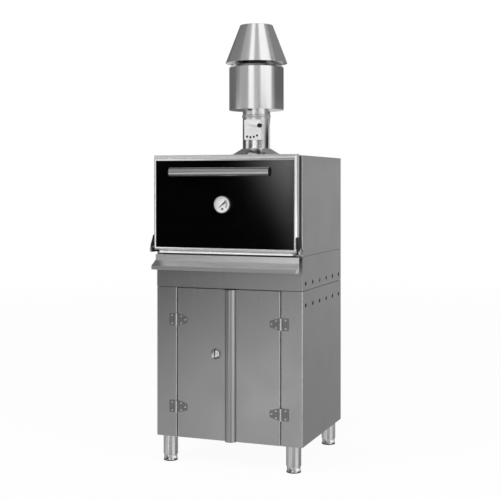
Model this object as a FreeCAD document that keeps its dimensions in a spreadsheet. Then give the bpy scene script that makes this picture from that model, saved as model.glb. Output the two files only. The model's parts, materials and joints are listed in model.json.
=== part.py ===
import FreeCAD, Part
import os
import re
import Sketcher

# Charcoal oven on a leg-mounted cabinet: all lengths in millimetres, angles in degrees.
# X runs to the right, Y to the back and Z up; the origin is on the floor under the middle of the oven.

# Driving dimensions, one cell of the sheet each.
SIZES = {
    # body sections, from the floor up
    "body_width": 670,
    "body_depth": 587,
    "leg_height": 112,
    "cabinet_height": 651,
    "base_height": 147,
    "oven_height": 423,
    "sheet": 2,
    "fold_radius": 3,
    "edge_fold": 4,
    "rear_flange": 25,
    "running_gap": 0.3,
    "pin_clearance": 0.05,
    # legs and levelling feet
    "leg_radius": 32,
    "leg_wall": 2,
    "leg_side_inset": 50,
    "leg_end_inset": 36,
    "leg_bush": 14,
    "foot_height": 27,
    "foot_neck_radius": 29,
    "foot_base_radius": 31,
    "foot_base_height": 4,
    "stem_radius": 8,
    "stem_length": 60,
    # vent holes in both sides
    "vent_radius": 7.5,
    "vent_count": 6,
    "vent_start": 46,
    "vent_end": 41,
    "cabinet_vent_drop": 61,
    "base_vent_rise": 30,
    # cabinet doors
    "stile_width": 95,
    "door_depth": 20,
    "door_edge_gap": 3,
    "door_top_gap": 2,
    "meeting_offset": 12.5,
    "meeting_gap": 2,
    "pull_radius": 24.5,
    "stop_flange": 25,
    "stop_gap": 2,
    # cabinet butt hinges
    "hinge_height": 53,
    "knuckle_radius": 5,
    "hinge_pin_radius": 3,
    "leaf_thickness": 2.5,
    "jamb_leaf_width": 35,
    "door_leaf_width": 50,
    "leaf_tip_height": 28,
    "leaf_corner": 6,
    "low_hinge_rise": 132,
    "high_hinge_rise": 511,
    # cabinet lock
    "lock_inset": 41.5,
    "lock_rise": 371,
    "lock_knob_radius": 22.5,
    "lock_knob_depth": 16,
    "lock_knob_round": 12,
    "lock_slot": 4,
    "lock_shaft_radius": 6,
    "lock_cam_length": 60,
    "lock_cam_width": 18,
    "lock_cam_thickness": 3,
    # ash drawer
    "apron_height": 80,
    "apron_flange": 18,
    "drawer_side_inset": 6,
    "drawer_stand": 27,
    "drawer_reach": 70,
    "drawer_top_gap": 3,
    "drawer_rim": 24,
    "drawer_slope": 23,
    "tray_width": 570,
    "tray_length": 540,
    "tray_height": 46,
    "tray_lift": 3,
    "runner_width": 68,
    "runner_drop": 40,
    # oven shell
    "front_flange": 30,
    "plate": 5,
    "oven_floor_plate": 3,
    "mouth_side_inset": 70,
    "mouth_height": 310,
    "mouth_rise": 39,
    "firebox_depth": 473,
    "ash_opening_width": 400,
    "ash_opening_depth": 330,
    "ash_opening_start": 70,
    "blanket_gap": 0.5,
    "sill_reach": 40,
    "sill_thickness": 11,
    "sill_lift": 5,
    "sill_bevel": 5,
    # grate and racks
    "grate_width": 450,
    "grate_depth": 400,
    "grate_start": 35,
    "grate_thickness": 12,
    "grate_foot": 20,
    "grate_border": 25,
    "grate_rail": 20,
    "grate_slot": 11,
    "grate_pitch": 21,
    "rack_runner_width": 20,
    "rack_runner_plate": 3,
    "lower_rack_rise": 154,
    "upper_rack_rise": 254,
    "rack_side_gap": 5,
    "rack_depth": 440,
    "rack_start": 15,
    "rack_bar": 8,
    "rack_bar_count": 3,
    "rack_rod_radius": 3,
    "rack_rod_seat": 1,
    "rack_pitch": 26,
    # oven door
    "door_side_inset": 8,
    "door_height": 409,
    "door_lift": 18,
    "door_stand": 17,
    "door_wall": 29,
    "door_ridge": 8,
    "panel_recess": 2,
    "strip_side": 12,
    "strip_top": 24,
    "strip_bottom": 12,
    "panel_thickness": 3,
    "liner_thickness": 3,
    "seal_width": 12,
    "seal_margin": 6,
    # oven door hinge
    "pivot_rise": 1,
    "eye_radius": 11,
    "pivot_pin_radius": 6,
    "arm_plate": 3,
    "arm_width": 28,
    "arm_height": 50,
    "arm_rise": 13,
    "arm_shoulder": 4.3,
    "eye_width": 7,
    "bracket_thickness": 5,
    "bracket_foot": 30,
    "bracket_foot_plate": 3,
    "rib_thickness": 10,
    # oven door handle
    "handle_radius": 19,
    "handle_wall": 2,
    "handle_stand": 48,
    "handle_drop": 73,
    "handle_length": 450,
    "cap_length": 3,
    "cap_plug": 12,
    "cap_round": 2,
    "post_spacing": 380,
    "post_radius": 9,
    # thermometer
    "dial_radius": 36.5,
    "case_depth": 20,
    "case_wall": 2.5,
    "case_round": 1.5,
    "case_floor": 6,
    "dial_thickness": 1,
    "needle_length": 27,
    "needle_tail": 18,
    "needle_width": 4,
    "needle_point": 1,
    "needle_thickness": 1,
    "needle_angle": 52,
    "hub_radius": 3.5,
    "spindle_radius": 1.2,
    "glass_thickness": 2,
    "glass_recess": 1.5,
    "probe_radius": 4,
    "probe_reach": 35,
    # flue
    "flue_setback": 352,
    "flue_radius": 63,
    "flue_wall": 2,
    "neck_height": 218,
    "bead_drop": 29,
    "bead_height": 12,
    "bead_flat": 6,
    "bead_depth": 3,
    "collar_radius": 127,
    "collar_height": 42,
    "collar_rim": 4,
    "drum_radius": 125,
    "drum_height": 204,
    "drum_shoulder": 10,
    "drum_mouth_radius": 96,
    "hat_radius": 142,
    "hat_top_radius": 75,
    "hat_height": 174,
    "hat_gap": 11,
    "stay_radius": 109,
    "stay_width": 20,
    "stay_thickness": 3,
    # flue damper
    "damper_rise": 154,
    "blade_gap": 3,
    "shaft_radius": 5,
    "index_left": 33,
    "index_right_inset": 13,
    "index_rise": 80,
    "index_height": 92,
    "index_stand": 8,
    "index_hole_radius": 4,
    "index_hole_circle": 62,
    "index_hole_count": 4,
    "index_first_angle": 62,
    "index_last_angle": 108,
    "lever_length": 50,
    "lever_angle": 12,
    "lever_width": 14,
    "lever_thickness": 4,
    "damper_knob_radius": 10,
    "damper_knob_length": 24,
    "damper_knob_neck": 6,
    "damper_knob_shank": 6,
    "damper_knob_flare": 10,
    "damper_knob_round": 5,
}

# Places worked out from the driving dimensions; a formula may use other places.
PLACES = {
    "half_width": "body_width / 2",
    "inner_half": "half_width - sheet",
    "front": "(door_reach + handle_stand + handle_radius - body_depth) / 2",
    "back": "front + body_depth",
    "back_inside": "back - 2 * sheet",
    "cabinet_bottom": "leg_height",
    "cabinet_top": "cabinet_bottom + cabinet_height",
    "base_top": "cabinet_top + base_height",
    "oven_top": "base_top + oven_height",
    "vent_pitch": "(body_depth - vent_start - vent_end) / (vent_count - 1)",
    "jamb": "half_width - stile_width",
    "door_edge": "jamb - door_edge_gap",
    "door_top": "cabinet_top - door_top_gap",
    "stop_face": "front + door_depth + stop_gap",
    "hinge_axis": "front - knuckle_radius - running_gap",
    "left_free_edge": "-meeting_offset - meeting_gap / 2",
    "right_free_edge": "-meeting_offset + meeting_gap / 2",
    "pull_centre": "right_free_edge + pull_radius",
    "lock_x": "left_free_edge - lock_inset",
    "lock_z": "cabinet_bottom + lock_rise",
    "apron_top": "cabinet_top + apron_height",
    "drawer_half": "half_width - drawer_side_inset",
    "drawer_back": "front - drawer_stand",
    "drawer_top": "base_top - drawer_top_gap",
    "drawer_crease": "drawer_top - drawer_rim",
    "drawer_nose": "drawer_crease - drawer_slope",
    "tray_front": "drawer_back + sheet",
    "tray_bottom": "apron_top + tray_lift",
    "runner_top": "tray_bottom - running_gap",
    "floor_top": "base_top + oven_floor_plate",
    "mouth_half": "half_width - mouth_side_inset",
    "mouth_bottom": "base_top + mouth_rise",
    "mouth_top": "mouth_bottom + mouth_height",
    "frame_front": "front + sheet",
    "firebox_front": "frame_front + plate",
    "firebox_back": "firebox_front + firebox_depth",
    "firebox_half": "mouth_half + plate",
    "firebox_top": "mouth_top + plate",
    "hearth": "floor_top + plate",
    "grate_half": "grate_width / 2",
    "grate_front": "firebox_front + grate_start",
    "rack_half": "mouth_half - rack_side_gap",
    "rack_front": "firebox_front + rack_start",
    "door_half": "half_width - door_side_inset",
    "door_bottom": "base_top + door_lift",
    "oven_door_top": "door_bottom + door_height",
    "door_back": "front - door_stand",
    "door_shoulder": "door_back - door_wall",
    "door_crest": "door_shoulder - door_ridge",
    "panel_face": "door_crest + panel_recess",
    "panel_back": "panel_face + panel_thickness",
    "liner_front": "door_back - liner_thickness",
    "door_reach": "door_stand + door_wall + door_ridge - panel_recess",
    "window_half": "door_half - strip_side",
    "window_bottom": "door_bottom + strip_bottom",
    "window_top": "oven_door_top - strip_top",
    "pivot_y": "door_shoulder",
    "pivot_z": "door_bottom + pivot_rise",
    "arm_face": "door_half + arm_plate",
    "bracket_inner": "arm_face + running_gap",
    "bracket_outer": "bracket_inner + bracket_thickness",
    "eye_inner": "bracket_outer + running_gap",
    "eye_outer": "eye_inner + eye_width",
    "handle_y": "panel_face - handle_stand",
    "handle_z": "oven_door_top - handle_drop",
    "dial_z": "(window_bottom + window_top) / 2",
    "case_front": "panel_face - case_depth",
    "dial_back": "panel_face - case_floor",
    "dial_face": "dial_back - dial_thickness",
    "needle_back": "dial_face - dial_thickness",
    "glass_front": "case_front + glass_recess",
    "flue_y": "front + flue_setback",
    "flue_bore": "flue_radius - flue_wall",
    "neck_top": "oven_top + neck_height",
    "index_right": "flue_radius - index_right_inset",
    "drum_top": "neck_top + drum_height",
    "hat_bottom": "drum_top + hat_gap",
    "damper_z": "oven_top + damper_rise",
    "index_face": "flue_y - flue_radius - index_stand",
    "lever_back": "index_face - running_gap",
    "lever_front": "lever_back - lever_thickness",
}

doc = FreeCAD.newDocument("charcoal_oven")
sheet_of_sizes = doc.addObject("Spreadsheet::Sheet", "Sizes")
for row, (alias, size) in enumerate(SIZES.items(), start=1):
    sheet_of_sizes.set(f"A{row}", str(size))
    sheet_of_sizes.setAlias(f"A{row}", alias)
doc.recompute()

WORD = re.compile(r"[a-z][a-z_]*")
SUB_PARTS = []


def formula(text):
    """Write out every place and sheet name in a formula."""
    def written_out(match):
        word = match.group()
        if word in PLACES:
            return "(" + formula(PLACES[word]) + ")"
        return "Sizes." + word if word in SIZES else word
    return WORD.sub(written_out, text)


def amount(text):
    """Give the number that a formula stands for at the present sizes."""
    return float(sheet_of_sizes.evalExpression(formula(text)))


def bind(thing, prop, text):
    """Tie a property to a formula of the sizes."""
    thing.setExpression(prop, formula(text))


def put(thing, x="0", y="0", z="0"):
    """Place a piece at a point given by formulas."""
    for axis, text in zip("xyz", (x, y, z)):
        bind(thing, f"Placement.Base.{axis}", text)


def turn(thing, axis, angle):
    """Turn a piece about an axis through its own origin."""
    thing.Placement = FreeCAD.Placement(FreeCAD.Vector(), FreeCAD.Rotation(FreeCAD.Vector(*axis), 1))
    bind(thing, "Placement.Rotation.Angle", angle)


def keep(thing, label):
    """Name a finished sub-part."""
    thing.Label = label
    SUB_PARTS.append(thing)
    return thing


# Plain solids and booleans.

def block(name, x, y, z):
    """Box over three ranges, each a pair of formulas."""
    box = doc.addObject("Part::Box", name)
    for side, axis, (low, high) in zip(("Length", "Width", "Height"), "xyz", (x, y, z)):
        bind(box, side, f"({high}) - ({low})")
        bind(box, f"Placement.Base.{axis}", low)
    return box


def rod(name, axis, radius, centre, span):
    """Cylinder along an axis; centre gives the other two coordinates in x, y, z order."""
    cylinder = doc.addObject("Part::Cylinder", name)
    low, high = span
    bind(cylinder, "Radius", radius)
    bind(cylinder, "Height", f"({high}) - ({low})")
    along = {"x": FreeCAD.Vector(1, 0, 0), "y": FreeCAD.Vector(0, 1, 0), "z": FreeCAD.Vector(0, 0, 1)}[axis]
    cylinder.Placement = FreeCAD.Placement(FreeCAD.Vector(), FreeCAD.Rotation(FreeCAD.Vector(0, 0, 1), along))
    places = list(centre)
    places.insert("xyz".index(axis), low)
    put(cylinder, *places)
    return cylinder


def join(name, *pieces):
    """One solid from overlapping pieces."""
    fused = doc.addObject("Part::MultiFuse", name)
    fused.Shapes = list(pieces)
    fused.Refine = True
    return fused


def cut(name, base, *tools):
    """The base with every tool taken out of it."""
    for number, tool in enumerate(tools):
        result = doc.addObject("Part::Cut", name if number + 1 == len(tools) else f"{name}_less_{number}")
        result.Base = base
        result.Tool = tool
        base = result
    return base


def group(name, pieces):
    """Separate alike solids under one name."""
    together = doc.addObject("Part::Compound", name)
    together.Links = list(pieces)
    return together


# Sketched bodies: outlines are lists of (u, v) formulas on an origin plane.

def origin_feature(owner, role):
    """Find an origin plane or axis of a body."""
    return next(feature for feature in owner.Origin.OriginFeatures if feature.Role == role)


def sketch_on(owner, plane, offset):
    """Start a sketch on an origin plane, moved along its normal."""
    sketch = owner.newObject("Sketcher::SketchObject", owner.Name + "_outline")
    sketch.AttachmentSupport = (origin_feature(owner, plane + "_Plane"), [""])
    sketch.MapMode = "FlatFace"
    bind(sketch, "AttachmentOffset.Base.z", offset)
    return sketch


def fix_point(sketch, geometry, point, u, v):
    """Hold a sketch point at its distances from the sketch origin."""
    for kind, text in (("DistanceX", u), ("DistanceY", v)):
        held = Sketcher.Constraint(kind, -1, 1, geometry, point, amount(text))
        bind(sketch, f"Constraints[{sketch.addConstraint(held)}]", text)


def draw(owner, plane, outline, offset="0"):
    """Sketch a closed outline with straight sides."""
    sketch = sketch_on(owner, plane, offset)
    corners = [FreeCAD.Vector(amount(u), amount(v), 0) for u, v in outline]
    for number, corner in enumerate(corners):
        sketch.addGeometry(Part.LineSegment(corner, corners[(number + 1) % len(corners)]))
    for number, (u, v) in enumerate(outline):
        sketch.addConstraint(Sketcher.Constraint("Coincident", (number - 1) % len(corners), 2, number, 1))
        fix_point(sketch, number, 1, u, v)
    return sketch


def draw_circle(owner, plane, centre, radius, offset="0"):
    """Sketch a circle."""
    sketch = sketch_on(owner, plane, offset)
    middle = FreeCAD.Vector(amount(centre[0]), amount(centre[1]), 0)
    sketch.addGeometry(Part.Circle(middle, FreeCAD.Vector(0, 0, 1), amount(radius)))
    fix_point(sketch, 0, 3, *centre)
    held = sketch.addConstraint(Sketcher.Constraint("Radius", 0, amount(radius)))
    bind(sketch, f"Constraints[{held}]", radius)
    return sketch


def rectangle(u, v):
    """Outline of a rectangle over two ranges."""
    return [(u[0], v[0]), (u[1], v[0]), (u[1], v[1]), (u[0], v[1])]


def start_of(plane, span):
    """Sketch offset from which a feature along the plane's normal covers the span."""
    return f"-({span[1]})" if plane == "XZ" else span[0]


def extrude(owner, kind, sketch, span):
    """Pad or pocket a sketch over the span; a pocket has to take material away."""
    feature = owner.newObject("PartDesign::" + kind, f"{owner.Name}_{kind.lower()}")
    feature.Profile = sketch
    bind(feature, "Length", f"({span[1]}) - ({span[0]})")
    if kind == "Pocket":
        before = owner.Shape.Volume
        feature.Reversed = True
        doc.recompute()
        if owner.Shape.Volume > before - 1e-6:
            raise ValueError(f"a cut in {owner.Name} takes nothing away")
    else:
        doc.recompute()
    return feature


def prism(name, plane, outline, span, owner=None):
    """Body, or a further pad of one, with a straight-sided section."""
    body = owner or doc.addObject("PartDesign::Body", name)
    extrude(body, "Pad", draw(body, plane, outline, start_of(plane, span)), span)
    return body


def carve(owner, plane, outline, span):
    """Pocket a straight-sided section out of a body."""
    return extrude(owner, "Pocket", draw(owner, plane, outline, start_of(plane, span)), span)


def bore(owner, plane, centre, radius, span):
    """Pocket a round hole out of a body."""
    return extrude(owner, "Pocket", draw_circle(owner, plane, centre, radius, start_of(plane, span)), span)


def repeat(owner, feature, axis, count, pitch):
    """Repeat a feature in a row along an origin axis."""
    row = owner.newObject("PartDesign::LinearPattern", owner.Name + "_row")
    row.Originals = [feature]
    row.Direction = (origin_feature(owner, axis + "_Axis"), [""])
    bind(row, "Occurrences", count)
    bind(row, "Length", f"(({count}) - 1) * ({pitch})")
    owner.Tip = row
    doc.recompute()
    return row


def spin(name, plane, outline, axis="V_Axis"):
    """Body of revolution about a sketch axis."""
    body = doc.addObject("PartDesign::Body", name)
    sketch = draw(body, plane, outline)
    turned = body.newObject("PartDesign::Revolution", name + "_revolution")
    turned.Profile = sketch
    turned.ReferenceAxis = (sketch, [axis])
    turned.Angle = 360
    doc.recompute()
    return body


def round_edges(owner, radius, chosen):
    """Fillet the edges of a body that the test picks."""
    tip = owner.Tip
    names = [f"Edge{number}" for number, edge in enumerate(tip.Shape.Edges, start=1) if chosen(edge)]
    fillet = owner.newObject("PartDesign::Fillet", owner.Name + "_fillet")
    fillet.Base = (tip, names)
    bind(fillet, "Radius", radius)
    doc.recompute()


def upright_at(x, y):
    """Test for vertical edges at a place in plan."""
    place = FreeCAD.Vector(amount(x), amount(y), 0)

    def chosen(edge):
        ends = [FreeCAD.Vector(vertex.X, vertex.Y, 0) for vertex in edge.Vertexes]
        return len(ends) == 2 and all(end.distanceToPoint(place) < 1e-3 for end in ends)
    return chosen


def ring_at(axis, place, radius):
    """Test for round edges of a turned body at a place along its axis."""
    def chosen(edge):
        curve = edge.Curve
        return (isinstance(curve, Part.Circle) and abs(curve.Radius - amount(radius)) < 1e-3
                and abs(getattr(curve.Center, axis) - amount(place)) < 1e-3)
    return chosen


SIDES = {"left": "-1", "right": "1"}


# Cabinet: folded sides with stiles, floor, top and back.

def side_section(hand, start, fold):
    """Plan outline of a side: front fold, side sheet and rear flange."""
    points = [
        ("half_width", start),
        *[(x, y) for x, y in fold],
        ("inner_half", f"{start} + sheet"),
        ("inner_half", "back - sheet"),
        ("half_width - rear_flange", "back - sheet"),
        ("half_width - rear_flange", "back"),
        ("half_width", "back"),
    ]
    return [(f"{hand} * ({x})", y) for x, y in points]


def flange_fold(start):
    """Front fold of a side that ends in a plain flange."""
    return [("half_width - front_flange", start), ("half_width - front_flange", f"{start} + sheet")]


STILE_FOLD = [
    ("jamb", "front"),
    ("jamb", "front + door_depth"),
    ("jamb + sheet", "front + door_depth"),
    ("jamb + sheet", "front + sheet"),
]


def vented(owner, hand, height):
    """Row of vent holes through a side."""
    through = sorted((f"{hand} * (inner_half - sheet)", f"{hand} * (half_width + sheet)"), key=amount)
    hole = bore(owner, "YZ", ("front + vent_start", height), "vent_radius", through)
    repeat(owner, hole, "Y", "vent_count", "vent_pitch")


def cabinet_side(name, hand):
    """Side sheet folded into the door stile and its jamb."""
    side = prism(name, "XY", side_section(hand, "front", STILE_FOLD), ("cabinet_bottom", "cabinet_top"))
    for y in ("front", "back"):
        round_edges(side, "fold_radius", upright_at(f"{hand} * half_width", y))
    round_edges(side, "edge_fold", upright_at(f"{hand} * jamb", "front"))
    vented(side, hand, "cabinet_top - cabinet_vent_drop")
    return side


for side_name, hand in SIDES.items():
    keep(cabinet_side(f"cabinet_{side_name}_side", hand), f"cabinet_{side_name}_side")

WIDE = ("-inner_half", "inner_half")
BACK_SHEET = ("back_inside", "back - sheet")
keep(block("cabinet_back", WIDE, BACK_SHEET, ("cabinet_bottom", "cabinet_top")), "cabinet_back")


def stopped_pan(name, level, inward):
    """Cabinet floor or top: a sheet with a front flange that stops the doors."""
    outline = [
        ("stop_face", level),
        ("back_inside", level),
        ("back_inside", f"{level} + {inward} * sheet"),
        ("stop_face + sheet", f"{level} + {inward} * sheet"),
        ("stop_face + sheet", f"{level} + {inward} * stop_flange"),
        ("stop_face", f"{level} + {inward} * stop_flange"),
    ]
    return prism(name, "YZ", outline, WIDE)


keep(stopped_pan("cabinet_floor", "cabinet_bottom", "1"), "cabinet_floor")
keep(stopped_pan("cabinet_ceiling", "cabinet_top", "-1"), "cabinet_top")

# Legs and levelling feet.

CORNERS = {
    "front_left": ("leg_side_inset - half_width", "front + leg_end_inset"),
    "front_right": ("half_width - leg_side_inset", "front + leg_end_inset"),
    "rear_left": ("leg_side_inset - half_width", "back - leg_end_inset"),
    "rear_right": ("half_width - leg_side_inset", "back - leg_end_inset"),
}


def leg(name, x, y):
    """Round leg: a closed tube with a bush for the foot's stem in its lower end."""
    inside = "leg_radius - leg_wall"
    cap = "leg_height - 2 * leg_wall"
    tube = spin(name, "XZ", [
        ("stem_radius + pin_clearance", "foot_height"),
        ("leg_radius", "foot_height"),
        ("leg_radius", "leg_height"),
        ("0", "leg_height"),
        ("0", cap),
        (inside, cap),
        (inside, "foot_height + leg_bush"),
        ("stem_radius + pin_clearance", "foot_height + leg_bush"),
    ])
    put(tube, x, y)
    return tube


def foot(name, x, y):
    """Levelling foot: flared base, neck and stem."""
    shoulder = "foot_height - running_gap"
    turned = spin(name, "XZ", [
        ("0", "0"),
        ("foot_base_radius", "0"),
        ("foot_base_radius", "foot_base_height"),
        ("foot_neck_radius", "2 * foot_base_height"),
        ("foot_neck_radius", shoulder),
        ("stem_radius", shoulder),
        ("stem_radius", "foot_height + stem_length"),
        ("0", "foot_height + stem_length"),
    ])
    put(turned, x, y)
    return turned


keep(group("legs", [leg(f"leg_{corner}", *place) for corner, place in CORNERS.items()]), "leg_tubes")
for corner, place in CORNERS.items():
    keep(foot(f"levelling_foot_{corner}", *place), f"levelling_foot_{corner}")

# Cabinet doors: folded pans, the right one with a half-round pull along its free edge.

DOOR_HEIGHT = ("cabinet_bottom", "door_top")
DOOR_INSIDE = ("cabinet_bottom + sheet", "door_top - sheet")
PAN = ("front", "front + door_depth")
PAN_INSIDE = ("front + sheet", "front + door_depth + sheet")


def door_sheet(name, low, high, hinge_edge):
    """Outer form of a door, folded round at its hinge edge."""
    outer = prism(name, "XY", rectangle((low, high), PAN), DOOR_HEIGHT)
    round_edges(outer, "edge_fold", upright_at(hinge_edge, "front"))
    return outer


def door_hollow(name, low, high):
    """Hollow of a door between its four returns, open at the back."""
    return block(name, (f"{low} + sheet", f"{high} - sheet"), PAN_INSIDE, DOOR_INSIDE)


def half_round(name, radius, heights):
    """Half cylinder that stands out in front of the right door's free edge."""
    half = rod(name, "z", radius, ("pull_centre", "front"), heights)
    half.Angle = 180
    half.Placement.Rotation = FreeCAD.Rotation(FreeCAD.Vector(0, 0, 1), 180)
    return half


lock_hole = rod("lock_hole", "y", "lock_shaft_radius + pin_clearance", ("lock_x", "lock_z"),
                ("front - sheet", "front + 2 * sheet"))
left_door = cut("left_cabinet_door_pan",
                door_sheet("left_door_sheet", "-door_edge", "left_free_edge", "-door_edge"),
                door_hollow("left_door_hollow", "-door_edge", "left_free_edge"), lock_hole)
keep(left_door, "left_cabinet_door")

right_flat = door_sheet("right_door_sheet", "right_free_edge", "door_edge", "door_edge")
right_solid = join("right_door_solid", right_flat, half_round("pull", "pull_radius", DOOR_HEIGHT))
right_hollow = door_hollow("right_door_hollow", "right_free_edge", "door_edge")
pull_throat = block("pull_throat", ("right_free_edge + sheet", "pull_centre + pull_radius - sheet"),
                    ("front", "front + 2 * sheet"), DOOR_INSIDE)
pull_hollow = half_round("pull_hollow", "pull_radius - sheet", DOOR_INSIDE)
right_door = cut("right_cabinet_door_pan", right_solid,
                 join("right_door_inside", right_hollow, pull_throat, pull_hollow))
keep(right_door, "right_cabinet_door")

# Cabinet lock: knob with its shaft through the left door, and the cam behind.

lock_knob = spin("lock_knob", "XY", [
    ("0", "front - lock_knob_depth"),
    ("lock_knob_radius", "front - lock_knob_depth"),
    ("lock_knob_radius", "front - running_gap"),
    ("lock_shaft_radius", "front - running_gap"),
    ("lock_shaft_radius", "stop_face + lock_cam_thickness"),
    ("0", "stop_face + lock_cam_thickness"),
])
round_edges(lock_knob, "lock_knob_round", ring_at("y", "front - lock_knob_depth", "lock_knob_radius"))
carve(lock_knob, "XZ",
      rectangle(("-lock_slot / 2", "lock_slot / 2"), ("-lock_knob_radius", "lock_knob_radius")),
      ("front - lock_knob_depth - sheet", "front - lock_knob_depth + lock_slot"))
put(lock_knob, "lock_x", "0", "lock_z")
keep(lock_knob, "lock_knob")

CAM_DEPTH = ("stop_face", "stop_face + lock_cam_thickness")
cam_end = rod("cam_end", "y", "lock_cam_width / 2", ("lock_x", "lock_z"), CAM_DEPTH)
cam_bar = block("cam_bar", ("lock_x - lock_cam_width / 2", "lock_x + lock_cam_width / 2"), CAM_DEPTH,
                ("lock_z - lock_cam_length", "lock_z"))
cam_eye = rod("cam_eye", "y", "lock_shaft_radius + pin_clearance", ("lock_x", "lock_z"),
              ("stop_face - sheet", "stop_face + lock_cam_thickness + sheet"))
keep(cut("lock_cam", join("cam_blank", cam_end, cam_bar), cam_eye), "lock_cam")

# Cabinet butt hinges: three knuckles on a pin, the outer two on the jamb leaf.

THIRD = "hinge_height / 3"
LEAF_DEPTH = ("front - leaf_thickness", "front")


def knuckle(name, hand, base, bottom, top, pin_bore):
    """One knuckle and the tongue that joins it to its leaf, bored for the pin; base is the leaf's side."""
    heights = (bottom, top)
    barrel = rod(name + "_barrel", "z", "knuckle_radius", (f"{hand} * jamb", "hinge_axis"), heights)
    root = f"{hand} * (jamb + {base} * (knuckle_radius + 2 * running_gap))"
    tongue = block(name + "_tongue", sorted((f"{hand} * jamb", root), key=amount), LEAF_DEPTH, heights)
    hole = rod(name + "_bore", "z", pin_bore, (f"{hand} * jamb", "hinge_axis"),
               (f"{bottom} - sheet", f"{top} + sheet"))
    return cut(name, join(name + "_blank", barrel, tongue), hole)


def leaf_plate(name, hand, base, width, tip, middle):
    """Flat of a leaf, tapering to its tip."""
    near = f"{hand} * (jamb + {base} * (knuckle_radius + running_gap))"
    far = f"{hand} * (jamb + {base} * {width})"
    outline = [
        (near, f"{middle} - hinge_height / 2"),
        (far, f"{middle} - {tip} / 2"),
        (far, f"{middle} + {tip} / 2"),
        (near, f"{middle} + hinge_height / 2"),
    ]
    plate = prism(name, "XZ", outline, LEAF_DEPTH)
    tip_x = amount(far)
    round_edges(plate, "leaf_corner", lambda edge: all(abs(end.X - tip_x) < 1e-3 for end in edge.Vertexes)
                and abs(edge.Vertexes[0].Z - edge.Vertexes[-1].Z) < 1e-3)
    return plate


def jamb_leaf(name, hand, middle):
    """Leaf on the stile with the two outer knuckles."""
    low = knuckle(name + "_low", hand, "1", f"{middle} - hinge_height / 2", f"{middle} - {THIRD} / 2",
                  "hinge_pin_radius")
    high = knuckle(name + "_high", hand, "1", f"{middle} + {THIRD} / 2", f"{middle} + hinge_height / 2",
                   "hinge_pin_radius")
    plate = leaf_plate(name + "_plate", hand, "1", "jamb_leaf_width", "hinge_height", middle)
    return join(name, plate, low, high)


def door_leaf(name, hand, middle):
    """Leaf on the door with the middle knuckle, which turns on the pin."""
    centre = knuckle(name + "_centre", hand, "-1", f"{middle} - {THIRD} / 2 + running_gap",
                     f"{middle} + {THIRD} / 2 - running_gap", "hinge_pin_radius + pin_clearance")
    plate = leaf_plate(name + "_plate", hand, "-1", "door_leaf_width", "leaf_tip_height", middle)
    return join(name, plate, centre)


HINGE_LEVELS = {"low": "cabinet_bottom + low_hinge_rise", "high": "cabinet_bottom + high_hinge_rise"}
jamb_leaves = []
hinge_pins = []
for side_name, hand in SIDES.items():
    door_leaves = []
    for level, middle in HINGE_LEVELS.items():
        tag = f"{side_name}_{level}"
        jamb_leaves.append(jamb_leaf(f"jamb_leaf_{tag}", hand, middle))
        door_leaves.append(door_leaf(f"door_leaf_{tag}", hand, middle))
        hinge_pins.append(rod(f"hinge_pin_{tag}", "z", "hinge_pin_radius", (f"{hand} * jamb", "hinge_axis"),
                              (f"{middle} - hinge_height / 2", f"{middle} + hinge_height / 2")))
    keep(group(f"{side_name}_leaves", door_leaves), f"{side_name}_door_hinge_leaves")
keep(group("jamb_leaves", jamb_leaves), "hinge_jamb_leaves")
keep(group("hinge_pins", hinge_pins), "hinge_pins")

# Base section: vented sides, apron, back, and the ash drawer on its runners.

def base_side(name, hand):
    """Side of the base, folded in behind the apron."""
    section = side_section(hand, "frame_front", flange_fold("frame_front"))
    side = prism(name, "XY", section, ("cabinet_top", "base_top"))
    round_edges(side, "fold_radius", upright_at(f"{hand} * half_width", "back"))
    vented(side, hand, "cabinet_top + base_vent_rise")
    return side


def drawer_runner(name, hand):
    """Angle on the inside of a base side, which the tray slides on."""
    inner = f"{hand} * inner_half"
    edge = f"{hand} * (inner_half - runner_width)"
    web = f"{hand} * (inner_half - sheet)"
    return prism(name, "XZ", [
        (inner, "runner_top"),
        (edge, "runner_top"),
        (edge, "runner_top - sheet"),
        (web, "runner_top - sheet"),
        (web, "runner_top - runner_drop"),
        (inner, "runner_top - runner_drop"),
    ], ("frame_front + sheet", "back_inside"))


keep(group("base_sides", [base_side(f"base_{name}", hand) for name, hand in SIDES.items()]), "base_sides")
keep(block("base_back", WIDE, BACK_SHEET, ("cabinet_top", "base_top")), "base_back")
apron = block("apron", ("-half_width", "half_width"), ("front", "frame_front"), ("cabinet_top", "apron_top"))
apron_ledge = block("apron_ledge", ("front_flange - half_width", "half_width - front_flange"),
                    ("front", "front + apron_flange"), ("apron_top - sheet", "apron_top"))
keep(join("base_front", apron, apron_ledge), "base_front")
keep(group("runners", [drawer_runner(f"runner_{name}", hand) for name, hand in SIDES.items()]),
     "drawer_runners")

tray_solid = block("tray_solid", ("-tray_width / 2", "tray_width / 2"),
                   ("tray_front", "tray_front + tray_length"), ("tray_bottom", "tray_bottom + tray_height"))
tray_hollow = block("tray_hollow", ("sheet - tray_width / 2", "tray_width / 2 - sheet"),
                    ("tray_front + sheet", "tray_front + tray_length - sheet"),
                    ("tray_bottom + sheet", "tray_bottom + tray_height + sheet"))
keep(cut("ash_tray", tray_solid, tray_hollow), "ash_drawer_tray")

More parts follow.
